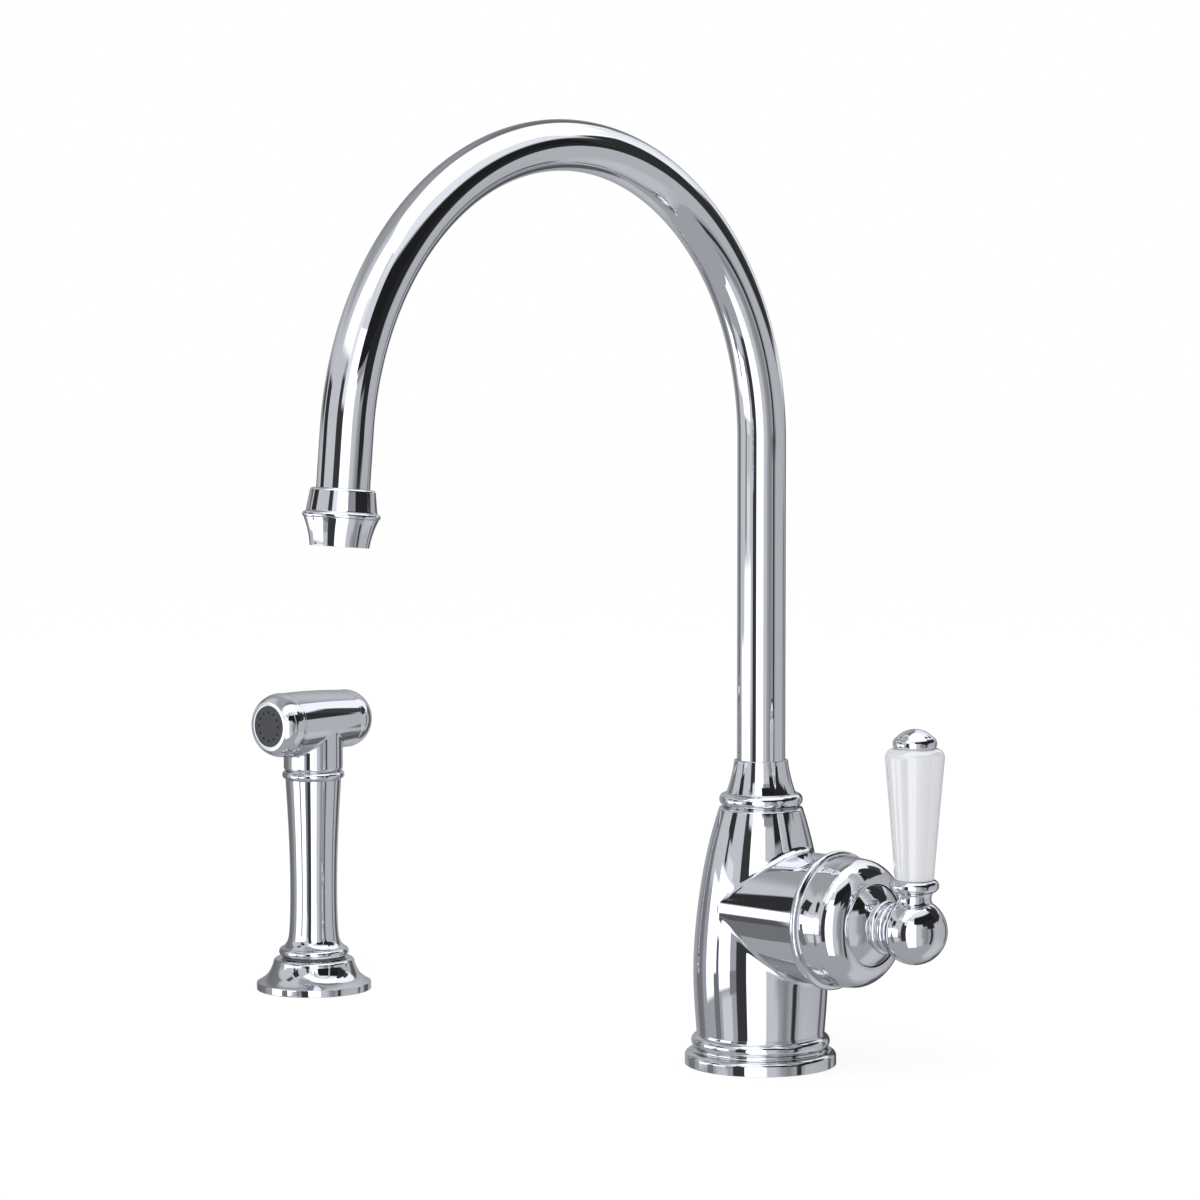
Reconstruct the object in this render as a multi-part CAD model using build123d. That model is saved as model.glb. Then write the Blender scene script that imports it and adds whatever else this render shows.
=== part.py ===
"""Side spray kitchen faucet: a mixer with a swan-neck spout and a side lever valve, and a hand spray in a
holder of its own.  Millimetres, +Z up.  The origin is the centre of the faucet's base on the deck's top.
The spout points along -Y, the valve barrel and its lever along +X.  The hand spray stands on the -X side.
"""
import os
from math import atan2, cos, radians, sin, sqrt

from build123d import *

# ---------------------------------------------------------------- clearances
RUNNING = 0.08  # radial gap of a shaft that turns or slides in its bore
CLEAR = 0.3  # gap between pieces that pass each other
THREAD = 0.05  # radial gap between screwed pieces
OVERLAP = 1.0  # how far a cut, or a boss that grows from a wall, runs into its neighbour

# ---------------------------------------------------------------- deck and base
DECK_THICKNESS = 20.0
BASE_R = 29.8
BASE_EDGE_HEIGHT = 3.6
BASE_SHOULDER_R = 27.0
BASE_SHOULDER_HEIGHT = 5.4
BASE_COVE_R = 26.0
BASE_COVE_HEIGHT = 6.9
BASE_BEAD_R = 27.3
BASE_BEAD_TOP_R = 25.25
BASE_BEAD_TOP = 11.7
BASE_HEIGHT = 12.8
GASKET_THICKNESS = 2.0
GASKET_WIDTH = 5.0
GASKET_INSET = 2.6
SHANK_R = 16.5
SHANK_WALL = 3.0
SHANK_DROP = 60.0
SHANK_GRIP = 17.2
SHANK_HOLE_GAP = 0.5
WASHER_R = 27.0
RUBBER_WASHER_THICKNESS = 2.5
STEEL_WASHER_THICKNESS = 2.0
NUT_ACROSS_FLATS = 50.0
NUT_HEIGHT = 8.0
JACK_SCREW_R = 2.5
JACK_SCREW_LENGTH = 16.0
JACK_SCREW_STAND = 2.0
JACK_SCREW_SLOT = 1.2
JACK_SCREW_COUNT = 3

# ---------------------------------------------------------------- body casting
BODY_FOOT_R = 25.2
BODY_BELLY_R = 26.5
BODY_MIDDLE_R = 25.3
BODY_UPPER_R = 21.8
BODY_NECK_R = 17.4
BODY_RIM_R = 16.4
BODY_RIM_HEIGHT = 0.8
BODY_HEIGHT = 102.0
PORT_CIRCLE_R = 8.0
PORT_THREAD_R = 4.5
PORT_THREAD_LENGTH = 14.0
CHANNEL_R = 3.2
MANIFOLD_FLANGE = 4.9
MANIFOLD_LENGTH = 22.0
MANIFOLD_SHOULDER = 0.6

# ---------------------------------------------------------------- valve barrel and cartridge
VALVE_Z = 60.5
BARREL_R = 25.0
BARREL_LENGTH = 36.5
BARREL_FLOOR = 12.0
CARTRIDGE_R = 17.5
CARTRIDGE_WALL = 2.5
CARTRIDGE_FLOOR = 3.2
CARTRIDGE_LENGTH = 22.6
SEAL_WIDTH = 1.2
SEAL_THICKNESS = 1.4
HOT_COLD_DROP = 8.0
MIXED_RISE = 3.5
MIXED_R = 3.0
DISC_THICKNESS = 3.0
DISC_PORT_STEP = 0.3
FIXED_DISC_R = 14.2
MOVING_DISC_R = 11.0
MIXING_POCKET_R = 7.0
CARRIER_R = 10.5
CARRIER_LENGTH = 8.0
CARRIER_SOCKET_FLOOR = 1.2
STEM_PLAY = 0.4
CARTRIDGE_NUT_LENGTH = 5.6
CARTRIDGE_NUT_NOTCH = 3.0
CARTRIDGE_NUT_NOTCHES = 4
SPIGOT_LENGTH = 4.5
SPIGOT_R = 22.5
SPIGOT_WALL = 4.0
ROTOR_NECK_R = 12.4
ROTOR_FLANGE_LENGTH = 4.6
ROTOR_NOSE = 4.0
ROTOR_LUG_WIDTH = 3.0
ROTOR_LUG_HEIGHT = 10.0
PIVOT_PIN_R = 1.5
PIVOT_PIN_LENGTH = 22.0

# ---------------------------------------------------------------- bonnet and lever
PIVOT_X = 42.0
DOME_R = 21.9
DOME_WALL = 2.5
DOME_SKIRT_ANGLE = 64.0
LEVER_TILT = 16.0
BONNET_BEAD_R = 27.0
BONNET_BEAD_LENGTH = 3.1
BONNET_R = 25.2
BONNET_SWELL_R = 25.3
BONNET_EDGE_R = 24.9
BONNET_EDGE_X = 47.5
BONNET_FACE_X = 57.5
BONNET_FACE_R = 17.0
GLIDE_THICKNESS = 1.2
STEM_R = 3.5
STEM_NECK_R = 2.0
STEM_BALL_R = 3.0
STEM_ARM = 15.0
STEM_NECK_LENGTH = 4.0
HUB_BOSS_R = 6.0
HUB_BOSS_X = 50.0
HUB_NECK_X = 62.0
HUB_COLLAR_R = 10.4
HUB_SECOND_COLLAR_R = 9.7
HUB_COLLAR_LENGTH = 2.8
HUB_CREASE = 0.7
BALL_R = 12.8
LEVER_X = 76.5
GRUB_R = 2.0
GRUB_LENGTH = 5.0
ROD_R = 2.5
ROD_DEPTH = 7.0
COLLAR_NECK_R = 7.1
COLLAR_NECK_LENGTH = 4.5
COLLAR_NECK_WAIST = 0.5
COLLAR_R = 9.5
COLLAR_LENGTH = 4.6
GRIP_FOOT_R = 7.45
GRIP_HEAD_R = 11.4
GRIP_LENGTH = 50.2
GRIP_SHOULDER = 3.8
GRIP_TOP_R = 7.9
GRIP_WASHER_THICKNESS = 0.8
GRIP_WASHER_R = 5.5
FINIAL_R = 8.45
FINIAL_SHOULDER_R = 6.95
FINIAL_EDGE = 4.3
FINIAL_HEIGHT = 7.3

# ---------------------------------------------------------------- spout
TUBE_R = 9.5
TUBE_WALL = 1.2
TUBE_RISE_Z = 245.4
ARCH_R = 112.34
ARCH_SWEEP = 174.73
TUBE_TAIL = 20.6
CONE_BEAD_R = 16.4
CONE_BEAD_HEIGHT = 5.0
CONE_CREASE_R = 14.6
CONE_FOOT_R = 13.65
CONE_WAIST_R = 11.75
CONE_TOP_R = 10.5
CONE_HEIGHT = 18.0
CONE_SPIGOT_R = 13.0
CONE_SPIGOT_LENGTH = 11.0
CONE_BORE_R = 11.0
CONE_BORE_HEIGHT = 10.0
GLIDE_RING_LENGTH = 8.5
FERRULE_R = 10.5
FERRULE_FLANGE_R = 12.4
FERRULE_FLANGE = 2.5
FERRULE_LENGTH = 19.0
FERRULE_BORE_R = 7.0
FERRULE_SKIRT = 13.6
TUBE_SEAT = 2.0
CLIP_THICKNESS = 2.0
O_RING_R = 0.9
SEAT_R = 10.45
SEAT_BORE_R = 5.0
SEAT_THICKNESS = 3.0
DIVERTER_R = 9.0
DIVERTER_DEPTH = 12.0
DIVERTER_TRAVEL = 3.0
PISTON_DISC = 2.2
PISTON_STEM_R = 2.2
PISTON_HEAD_R = 6.2
PISTON_HEAD = 2.4
PISTON_HOLES = 4
NOZZLE_COLLAR_R = 11.6
NOZZLE_EDGE = 1.1
NOZZLE_SHOULDER_R = 12.6
NOZZLE_BEAD_R = 13.75
NOZZLE_BEAD_AT = 9.35
NOZZLE_BEAD_LENGTH = 2.1
NOZZLE_SKIRT_R = 13.3
NOZZLE_OUTLET_R = 10.5
NOZZLE_LENGTH = 20.4
AERATOR_WALL = 1.6
AERATOR_PLATE = 3.0
AERATOR_RECESS = 1.5
AERATOR_WASHER = 1.5
AERATOR_HOLE_R = 0.8
AERATOR_INNER_HOLES = 6
AERATOR_OUTER_HOLES = 12

# ---------------------------------------------------------------- hand spray and its holder
SPRAY_X = -251.5
SPRAY_Y = -3.5
HOLDER_R = 24.8
HOLDER_EDGE = 3.1
HOLDER_THROAT_R = 17.6
HOLDER_TOP_R = 16.2
HOLDER_HEIGHT = 13.6
HOLDER_LIP = 2.0
HOLDER_SHANK_R = 14.5
HOLDER_SHANK_DROP = 50.0
HOLDER_SHANK_GRIP = 10.0
HOLDER_SHANK_BORE_R = 12.2
HOLDER_GASKET_WIDTH = 4.0
HOLDER_NUT_WALL = 6.0
HOLDER_WING_LENGTH = 7.0
HOLDER_WING_THICKNESS = 5.0
LINER_R = 11.6
LINER_WALL = 1.6
LINER_FLANGE_R = 13.6
LINER_FLANGE = 0.6
LINER_DEPTH = 26.0
CONNECTOR_DROP = 14.0
CONNECTOR_BORE_R = 4.0
HOSE_THREAD_R = 6.0
HOSE_THREAD_LENGTH = 12.0
CONNECTOR_NECK_R = 6.9
CONNECTOR_NECK_LENGTH = 18.0
CONNECTOR_CLIP_R = 7.6
CONNECTOR_CLIP = 1.4
CONNECTOR_CLIP_BITE = 0.8
CONNECTOR_CLIP_MOUTH = 4.0
GRIP_RING_R = 15.15
GRIP_RING_HEIGHT = 3.8
GRIP_RING_ROUND = 1.5
GRIP_THROAT_R = 12.3
GRIP_WAIST_R = 10.2
GRIP_FLARE_R = 12.1
HANDLE_BEAD_R = 13.5
HANDLE_BEAD_HEIGHT = 3.6
HANDLE_HEIGHT = 80.7
HANDLE_CHANNEL_R = 5.0
HEAD_SPIGOT_R = 8.0
HEAD_SPIGOT_LENGTH = 10.0
STUB_R = 12.83
STUB_WAIST_R = 12.0
STUB_FLARE = 1.6
HEAD_AXIS_Z = 116.3
HEAD_R = 13.65
HEAD_MIDDLE_R = 13.5
HEAD_REAR_R = 12.5
HEAD_REACH = 16.2
HEAD_REAR = 17.5
HEAD_BORE_R = 9.5
HEAD_WEB = 2.5
HEAD_WEB_SETBACK = 1.5
FRONT_CAP_LENGTH = 10.1
FRONT_FACE_R = 10.7
FRONT_SPIGOT = 3.7
ROSE_R = 8.7
ROSE_THICKNESS = 1.9
ROSE_SINK = 0.1
ROSE_HOLE_R = 0.45
ROSE_HOLE_CIRCLE_R = 6.12
ROSE_HOLE_COUNT = 12
ROSE_LEDGE = 0.8
ROSE_GASKET = 1.4
ROSE_GASKET_WIDTH = 1.6
VALVE_SEAT_AT = 6.0
VALVE_SEAT = 2.5
VALVE_SEAT_HOLE_R = 3.2
VALVE_PLUG_R = 4.6
VALVE_PLUG = 2.2
VALVE_WASHER = 1.0
VALVE_STEM_R = 1.5
REAR_CAP_LENGTH = 10.0
REAR_CAP_LIP = 5.0
REAR_CAP_SPIGOT = 3.0
REAR_CAP_RIM = 1.2
BUTTON_R = 6.8
BUTTON_FLANGE_R = 8.2
BUTTON_FLANGE = 1.5
BUTTON_STAND = 4.0
BUTTON_EDGE = 0.5
BUTTON_TRAVEL = 3.5
SPRING_WIRE_R = 0.45
SPRING_TURNS = 5
O_RING_COUNT = 2


# ---------------------------------------------------------------- helpers
def outline(start, *moves):
    """A closed face: a tuple is a straight run, a list of two points an arc, a longer list a curve."""
    here, edges = start, []
    for move in (*moves, start):
        if isinstance(move, list):
            stops = [here, *move]
            edges.append(ThreePointArc(*stops) if len(stops) == 3 else Spline(*stops))
            here = move[-1]
        elif move != here:
            edges.append(Line(here, move))
            here = move
    return make_face(edges)


def turned(start, *moves):
    """A solid turned about Z from its outline in (radius, height)."""
    return revolve(Plane.XZ * outline(start, *moves), Axis.Z)


def ring(outer_r, inner_r, bottom, top):
    """A plain ring about Z."""
    return turned((inner_r, bottom), (outer_r, bottom), (outer_r, top), (inner_r, top))


def rod(radius, bottom, top):
    """A plain round bar about Z."""
    return Pos(0, 0, (bottom + top) / 2) * Cylinder(radius, top - bottom)


def block(size_x, size_y, bottom, top):
    """A bar of rectangular section about Z."""
    return Pos(0, 0, (bottom + top) / 2) * Box(size_x, size_y, top - bottom)


def o_ring(centre_r, height):
    """A rubber ring of round section, centred at this height."""
    return Pos(0, 0, height) * Torus(centre_r, O_RING_R)


def coil(mean_r, bottom, top):
    """A compression spring about Z, its wire's ends clear of the two faces."""
    low, high = bottom + SPRING_WIRE_R, top - SPRING_WIRE_R
    path = Pos(0, 0, low) * Helix((high - low) / SPRING_TURNS, high - low, mean_r)
    return sweep(Plane(path @ 0, z_dir=path % 0) * Circle(SPRING_WIRE_R), path=path, is_frenet=True)


def round_about(count, radius, shape):
    """Copies of a shape, evenly round Z."""
    return [PolarLocations(radius, count).locations[i] * shape for i in range(count)]


def dome(edge_r, edge_z, top_z):
    """The arc of a spherical cap, from its edge up to its top on the axis."""
    ball_r = (edge_r**2 + (top_z - edge_z) ** 2) / (2 * (top_z - edge_z))
    half_angle = atan2(edge_r, edge_z - top_z + ball_r) / 2
    return [(ball_r * sin(half_angle), top_z - ball_r + ball_r * cos(half_angle)), (0, top_z)]


def sphere_radius_at(ball_r, offset):
    """Radius of a ball's section at this offset from its centre."""
    return sqrt(ball_r**2 - offset**2)


PARTS = {}


def keep(name, *solids):
    """Store a node: one solid, or a group of separate ones."""
    PARTS[name] = solids[0] if len(solids) == 1 else Compound(children=list(solids))
    return PARTS[name]


# ---------------------------------------------------------------- frames of the three other axes
valve = Plane(origin=(0, 0, VALVE_Z), x_dir=(0, 1, 0), z_dir=(1, 0, 0)).location  # local Z runs along +X
lever = Location((LEVER_X, 0, 0))
spray = Location((SPRAY_X, SPRAY_Y, 0))
head = spray * Plane(origin=(0, 0, HEAD_AXIS_Z), x_dir=(1, 0, 0), z_dir=(0, -1, 0)).location  # along -Y


# ---------------------------------------------------------------- deck fastening of the faucet
shank_bore_r = SHANK_R - SHANK_WALL
shank_socket_r = shank_bore_r + MANIFOLD_SHOULDER
shank_top = BASE_HEIGHT + SHANK_GRIP
manifold_bottom = shank_top - MANIFOLD_LENGTH
gasket_outer_r = BASE_R - GASKET_INSET
gasket_inner_r = gasket_outer_r - GASKET_WIDTH
base_bore_r = SHANK_R + SHANK_HOLE_GAP
shoulder_corner_r = 0.68 * BASE_R + 0.32 * BASE_SHOULDER_R
shoulder_corner_z = 0.25 * BASE_EDGE_HEIGHT + 0.75 * BASE_SHOULDER_HEIGHT
cove_middle_r = 0.1 * BASE_SHOULDER_R + 0.9 * BASE_COVE_R
cove_middle_z = 0.67 * BASE_SHOULDER_HEIGHT + 0.33 * BASE_COVE_HEIGHT
bead_middle = (BASE_COVE_HEIGHT + BASE_BEAD_TOP) / 2

base_ring = turned(
    (base_bore_r, 0),
    (BASE_R, 0),
    (BASE_R, BASE_EDGE_HEIGHT),
    [(shoulder_corner_r, shoulder_corner_z), (BASE_SHOULDER_R, BASE_SHOULDER_HEIGHT)],
    [(cove_middle_r, cove_middle_z), (BASE_COVE_R, BASE_COVE_HEIGHT)],
    [(BASE_BEAD_R, bead_middle), (BASE_BEAD_TOP_R, BASE_BEAD_TOP)],
    (BODY_FOOT_R, BASE_HEIGHT),
    (base_bore_r, BASE_HEIGHT),
)
keep("base_ring", base_ring - ring(gasket_outer_r, gasket_inner_r, 0, GASKET_THICKNESS))
keep("base_gasket", ring(gasket_outer_r - THREAD, gasket_inner_r + THREAD, 0, GASKET_THICKNESS))
shank = ring(SHANK_R, shank_bore_r, -SHANK_DROP, shank_top)
keep("mounting_shank", shank - rod(shank_socket_r, manifold_bottom, shank_top))

rubber_bottom = -DECK_THICKNESS - RUBBER_WASHER_THICKNESS
steel_bottom = rubber_bottom - STEEL_WASHER_THICKNESS
nut_top = steel_bottom - JACK_SCREW_STAND
nut_corner_r = NUT_ACROSS_FLATS / 2 / cos(radians(30))
screw_circle_r = (SHANK_R + NUT_ACROSS_FLATS / 2) / 2
keep("deck_washer_rubber", ring(WASHER_R, SHANK_R + CLEAR, rubber_bottom, -DECK_THICKNESS))
keep("deck_washer_steel", ring(WASHER_R, SHANK_R + CLEAR, steel_bottom, rubber_bottom))
nut_bottom = nut_top - NUT_HEIGHT
nut = Pos(0, 0, nut_bottom) * extrude(RegularPolygon(nut_corner_r, 6), NUT_HEIGHT)
nut -= rod(SHANK_R + THREAD, nut_bottom, nut_top)
screw_hole = rod(JACK_SCREW_R + THREAD, nut_bottom, nut_top)
for hole in round_about(JACK_SCREW_COUNT, screw_circle_r, screw_hole):
    nut -= hole
keep("mounting_nut", nut)
jack_screw = rod(JACK_SCREW_R, steel_bottom - JACK_SCREW_LENGTH, steel_bottom)
screw_slot = Box(4 * JACK_SCREW_R, 0.4 * JACK_SCREW_R, 2 * JACK_SCREW_SLOT)
jack_screw -= Pos(0, 0, steel_bottom - JACK_SCREW_LENGTH) * screw_slot
keep("jack_screws", *round_about(JACK_SCREW_COUNT, screw_circle_r, jack_screw))

# ---------------------------------------------------------------- water ways
port_angles = {"hot": 60, "cold": 300, "spray": 180}
ports = {
    name: (PORT_CIRCLE_R * cos(radians(angle)), PORT_CIRCLE_R * sin(radians(angle)))
    for name, angle in port_angles.items()
}
socket_top = shank_top + MANIFOLD_FLANGE + RUNNING
hot_cold_z = VALVE_Z - HOT_COLD_DROP
mixed_z = VALVE_Z + MIXED_RISE

manifold = rod(shank_socket_r - THREAD, manifold_bottom, shank_top)
manifold += rod(SHANK_R - THREAD, shank_top, shank_top + MANIFOLD_FLANGE)
port = rod(PORT_THREAD_R, manifold_bottom, manifold_bottom + PORT_THREAD_LENGTH)
port += rod(CHANNEL_R, manifold_bottom, shank_top + MANIFOLD_FLANGE)
for port_x, port_y in ports.values():
    manifold -= Pos(port_x, port_y) * port
keep("inlet_manifold", manifold)

# ---------------------------------------------------------------- the spout's seat, from the top down
spigot_bottom = BODY_HEIGHT - CONE_SPIGOT_LENGTH
clip_top = spigot_bottom - CLEAR
flange_top = clip_top - CLIP_THICKNESS
flange_bottom = flange_top - FERRULE_FLANGE
ferrule_bottom = flange_bottom - FERRULE_SKIRT
seat_top = ferrule_bottom - CLEAR
seat_bottom = seat_top - SEAT_THICKNESS
chamber_floor = seat_bottom - DIVERTER_DEPTH
seal_bore_r = FERRULE_R + RUNNING

# ---------------------------------------------------------------- body casting
body_span = BODY_HEIGHT - BASE_HEIGHT
casting = turned(
    (0, BASE_HEIGHT),
    (BODY_FOOT_R, BASE_HEIGHT),
    [
        (BODY_BELLY_R, BASE_HEIGHT + 0.27 * body_span),
        (BODY_MIDDLE_R, BASE_HEIGHT + 0.5 * body_span),
        (BODY_UPPER_R, BASE_HEIGHT + 0.76 * body_span),
        (BODY_NECK_R, BASE_HEIGHT + 0.955 * body_span),
        (BODY_RIM_R, BODY_HEIGHT - BODY_RIM_HEIGHT),
    ],
    (CONE_CREASE_R, BODY_HEIGHT),
    (0, BODY_HEIGHT),
)
barrel = valve * rod(BARREL_R, 0, BARREL_LENGTH)
spigot = valve * rod(SPIGOT_R, BARREL_LENGTH - OVERLAP, BARREL_LENGTH + SPIGOT_LENGTH)
casting = casting + barrel + spigot
casting -= rod(SHANK_R + THREAD, BASE_HEIGHT, socket_top)
casting -= rod(CONE_SPIGOT_R + THREAD, flange_bottom - CLEAR, BODY_HEIGHT)
casting -= rod(seal_bore_r, seat_bottom, BODY_HEIGHT)
casting -= rod(DIVERTER_R, chamber_floor, BODY_HEIGHT)
casting -= valve * rod(CARTRIDGE_R + RUNNING, BARREL_FLOOR, BARREL_LENGTH + SPIGOT_LENGTH)
nut_bed = BARREL_FLOOR + CLEAR + CARTRIDGE_LENGTH
casting -= valve * rod(SPIGOT_R - SPIGOT_WALL, nut_bed, BARREL_LENGTH + SPIGOT_LENGTH)
for name in ("hot", "cold"):
    port_x, port_y = ports[name]
    casting -= Pos(port_x, port_y) * rod(CHANNEL_R, socket_top - OVERLAP, hot_cold_z)
    casting -= Pos(port_x, port_y, hot_cold_z) * Sphere(CHANNEL_R)
    casting -= valve * Pos(port_y, -HOT_COLD_DROP) * rod(CHANNEL_R, port_x, BARREL_FLOOR + OVERLAP)
casting -= Pos(*ports["spray"]) * rod(CHANNEL_R, socket_top - OVERLAP, chamber_floor + CHANNEL_R)
casting -= valve * Pos(0, MIXED_RISE) * rod(MIXED_R, 0, BARREL_FLOOR + OVERLAP)
keep("body_casting", casting)

# ---------------------------------------------------------------- valve cartridge, local Z along the barrel
housing_floor = BARREL_FLOOR + CLEAR
housing_end = housing_floor + CARTRIDGE_LENGTH
fixed_disc_at = housing_floor + CARTRIDGE_FLOOR
moving_disc_at = fixed_disc_at + DISC_THICKNESS + THREAD
carrier_at = moving_disc_at + DISC_THICKNESS
carrier_end = carrier_at + CARRIER_LENGTH
rotor_at = carrier_end + CLEAR
flange_end = rotor_at + ROTOR_FLANGE_LENGTH
housing_bore_r = CARTRIDGE_R - CARTRIDGE_WALL
water_ports = [
    (ports["hot"][1], -HOT_COLD_DROP, CHANNEL_R),
    (ports["cold"][1], -HOT_COLD_DROP, CHANNEL_R),
    (0, MIXED_RISE, MIXED_R),
]
disc_travel = STEM_ARM * sin(radians(LEVER_TILT))
disc_rest = -disc_travel / 2

housing = rod(CARTRIDGE_R, housing_floor, housing_end) - rod(housing_bore_r, fixed_disc_at, housing_end)
fixed_disc = rod(FIXED_DISC_R, fixed_disc_at, fixed_disc_at + DISC_THICKNESS)
seals = []
for port_y, port_z, port_r in water_ports:
    place = Pos(port_y, port_z)
    housing -= place * rod(port_r, housing_floor, fixed_disc_at)
    housing -= place * rod(port_r + SEAL_WIDTH, housing_floor, BARREL_FLOOR + SEAL_THICKNESS)
    fixed_disc -= place * rod(port_r - DISC_PORT_STEP, fixed_disc_at, fixed_disc_at + DISC_THICKNESS)
    seal = ring(port_r + SEAL_WIDTH - THREAD, port_r, BARREL_FLOOR, BARREL_FLOOR + SEAL_THICKNESS)
    seals.append(valve * place * seal)
keep("cartridge_housing", valve * housing)
keep("cartridge_seals", *seals)
keep("fixed_ceramic_disc", valve * fixed_disc)

moving_disc = rod(MOVING_DISC_R, moving_disc_at, carrier_at)
moving_disc -= rod(MIXING_POCKET_R, moving_disc_at, moving_disc_at + DISC_THICKNESS / 2)
keep("moving_ceramic_disc", valve * Pos(0, disc_rest) * moving_disc)
carrier = rod(CARRIER_R, carrier_at, carrier_end)
stem_ball_at = PIVOT_X - STEM_ARM
socket_bore = rod(STEM_BALL_R + STEM_PLAY, stem_ball_at - STEM_BALL_R - CARRIER_SOCKET_FLOOR, carrier_end)
keep("disc_carrier", valve * (Pos(0, disc_rest) * carrier - socket_bore))

rotor = rod(housing_bore_r - CLEAR, rotor_at, flange_end)
rotor += rod(ROTOR_NECK_R, rotor_at, PIVOT_X + ROTOR_NOSE)
lug_centre = CARRIER_R + CLEAR + ROTOR_LUG_WIDTH / 2
for side in (-1, 1):
    lug = block(ROTOR_LUG_WIDTH, ROTOR_LUG_HEIGHT, carrier_at + OVERLAP, rotor_at + OVERLAP)
    rotor += Pos(side * lug_centre) * lug
slot_half_height = disc_travel + STEM_R + OVERLAP
rotor -= block(2 * (STEM_R + STEM_PLAY), 2 * slot_half_height, carrier_at, PIVOT_X + ROTOR_NOSE + OVERLAP)
cross_pin = Location((0, 0, PIVOT_X), (0, 90, 0))
rotor -= cross_pin * Cylinder(PIVOT_PIN_R + THREAD, 4 * ROTOR_NECK_R)
keep("stem_rotor", valve * rotor)
keep("stem_pivot_pin", valve * cross_pin * Cylinder(PIVOT_PIN_R, PIVOT_PIN_LENGTH))

nut_end = nut_bed + CARTRIDGE_NUT_LENGTH
cartridge_nut = ring(SPIGOT_R - SPIGOT_WALL - THREAD, ROTOR_NECK_R + RUNNING, nut_bed, nut_end)
notch = Pos(0, 0, nut_end) * Box(2 * CARTRIDGE_NUT_NOTCH, CARTRIDGE_NUT_NOTCH, CARTRIDGE_NUT_NOTCH)
for cut in round_about(CARTRIDGE_NUT_NOTCHES, SPIGOT_R - SPIGOT_WALL, notch):
    cartridge_nut -= cut
keep("cartridge_nut", valve * cartridge_nut)

# ---------------------------------------------------------------- bonnet over the lever's dome
bonnet_start = BARREL_LENGTH
bonnet_step = BARREL_LENGTH + SPIGOT_LENGTH + CLEAR
socket_r = DOME_R + CLEAR
socket_step = bonnet_step + OVERLAP
opening_r = sphere_radius_at(socket_r, BONNET_FACE_X - PIVOT_X)
bead_end = bonnet_start + BONNET_BEAD_LENGTH
corner_r = 0.29 * BONNET_FACE_R + 0.71 * BONNET_EDGE_R
corner_x = 0.32 * BONNET_EDGE_X + 0.68 * BONNET_FACE_X
bonnet = turned(
    (SPIGOT_R + THREAD, bonnet_start),
    (BARREL_R, bonnet_start),
    [(BONNET_BEAD_R, (bonnet_start + bead_end) / 2), (BONNET_R, bead_end)],
    [(BONNET_SWELL_R, (bead_end + BONNET_EDGE_X) / 2), (BONNET_EDGE_R, BONNET_EDGE_X)],
    [(corner_r, corner_x), (BONNET_FACE_R, BONNET_FACE_X)],
    (opening_r, BONNET_FACE_X),
    [
        (sphere_radius_at(socket_r, (BONNET_FACE_X - PIVOT_X) / 2), (BONNET_FACE_X + PIVOT_X) / 2),
        (sphere_radius_at(socket_r, socket_step - PIVOT_X), socket_step),
    ],
    (SPIGOT_R + THREAD, socket_step),
)
keep("bonnet", valve * bonnet)
seal = ring(SPIGOT_R + THREAD, SPIGOT_R - GLIDE_THICKNESS, bonnet_step - CLEAR, socket_step)
keep("bonnet_seal", valve * seal)

# ---------------------------------------------------------------- lever hub, local Z along the barrel
skirt = radians(DOME_SKIRT_ANGLE)
dome_inner_r = DOME_R - DOME_WALL
hub_dome_r = sphere_radius_at(DOME_R, HUB_NECK_X - PIVOT_X)
collar_end = HUB_NECK_X + HUB_COLLAR_LENGTH
second_end = collar_end + HUB_COLLAR_LENGTH
ball_neck_r = sphere_radius_at(BALL_R, LEVER_X - second_end)
mid_angle = (skirt + atan2(hub_dome_r, HUB_NECK_X - PIVOT_X)) / 2
boss_inner_x = PIVOT_X + sqrt(dome_inner_r**2 - HUB_BOSS_R**2)
inner_mid = (skirt + atan2(HUB_BOSS_R, boss_inner_x - PIVOT_X)) / 2
hub = turned(
    (0, second_end + CLEAR),
    (STEM_R + THREAD, second_end + CLEAR),
    (STEM_R + THREAD, HUB_BOSS_X),
    (HUB_BOSS_R, HUB_BOSS_X),
    (HUB_BOSS_R, boss_inner_x),
    [
        (dome_inner_r * sin(inner_mid), PIVOT_X + dome_inner_r * cos(inner_mid)),
        (dome_inner_r * sin(skirt), PIVOT_X + dome_inner_r * cos(skirt)),
    ],
    (DOME_R * sin(skirt), PIVOT_X + DOME_R * cos(skirt)),
    [(DOME_R * sin(mid_angle), PIVOT_X + DOME_R * cos(mid_angle)), (hub_dome_r, HUB_NECK_X)],
    [(HUB_COLLAR_R, (HUB_NECK_X + collar_end) / 2), (HUB_SECOND_COLLAR_R - HUB_CREASE, collar_end)],
    [(HUB_SECOND_COLLAR_R, (collar_end + second_end) / 2), (ball_neck_r, second_end)],
    [(BALL_R, LEVER_X), (0, LEVER_X + BALL_R)],
)
collar_neck_z = VALVE_Z + sphere_radius_at(BALL_R, COLLAR_NECK_R)
hub = valve * hub
hub -= lever * rod(COLLAR_NECK_R + OVERLAP, collar_neck_z, VALVE_Z + BALL_R + OVERLAP)
hub -= lever * rod(ROD_R + THREAD, VALVE_Z, collar_neck_z)
grub_x = (HUB_NECK_X + collar_end) / 2
grub_outer = STEM_R + CLEAR + GRUB_LENGTH
hub -= Pos(grub_x, 0, 0) * rod(GRUB_R + THREAD, VALVE_Z - HUB_COLLAR_R - OVERLAP, VALVE_Z - STEM_R)
keep("lever_hub", hub)
grub = rod(GRUB_R, VALVE_Z - grub_outer, VALVE_Z - STEM_R - RUNNING)
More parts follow.
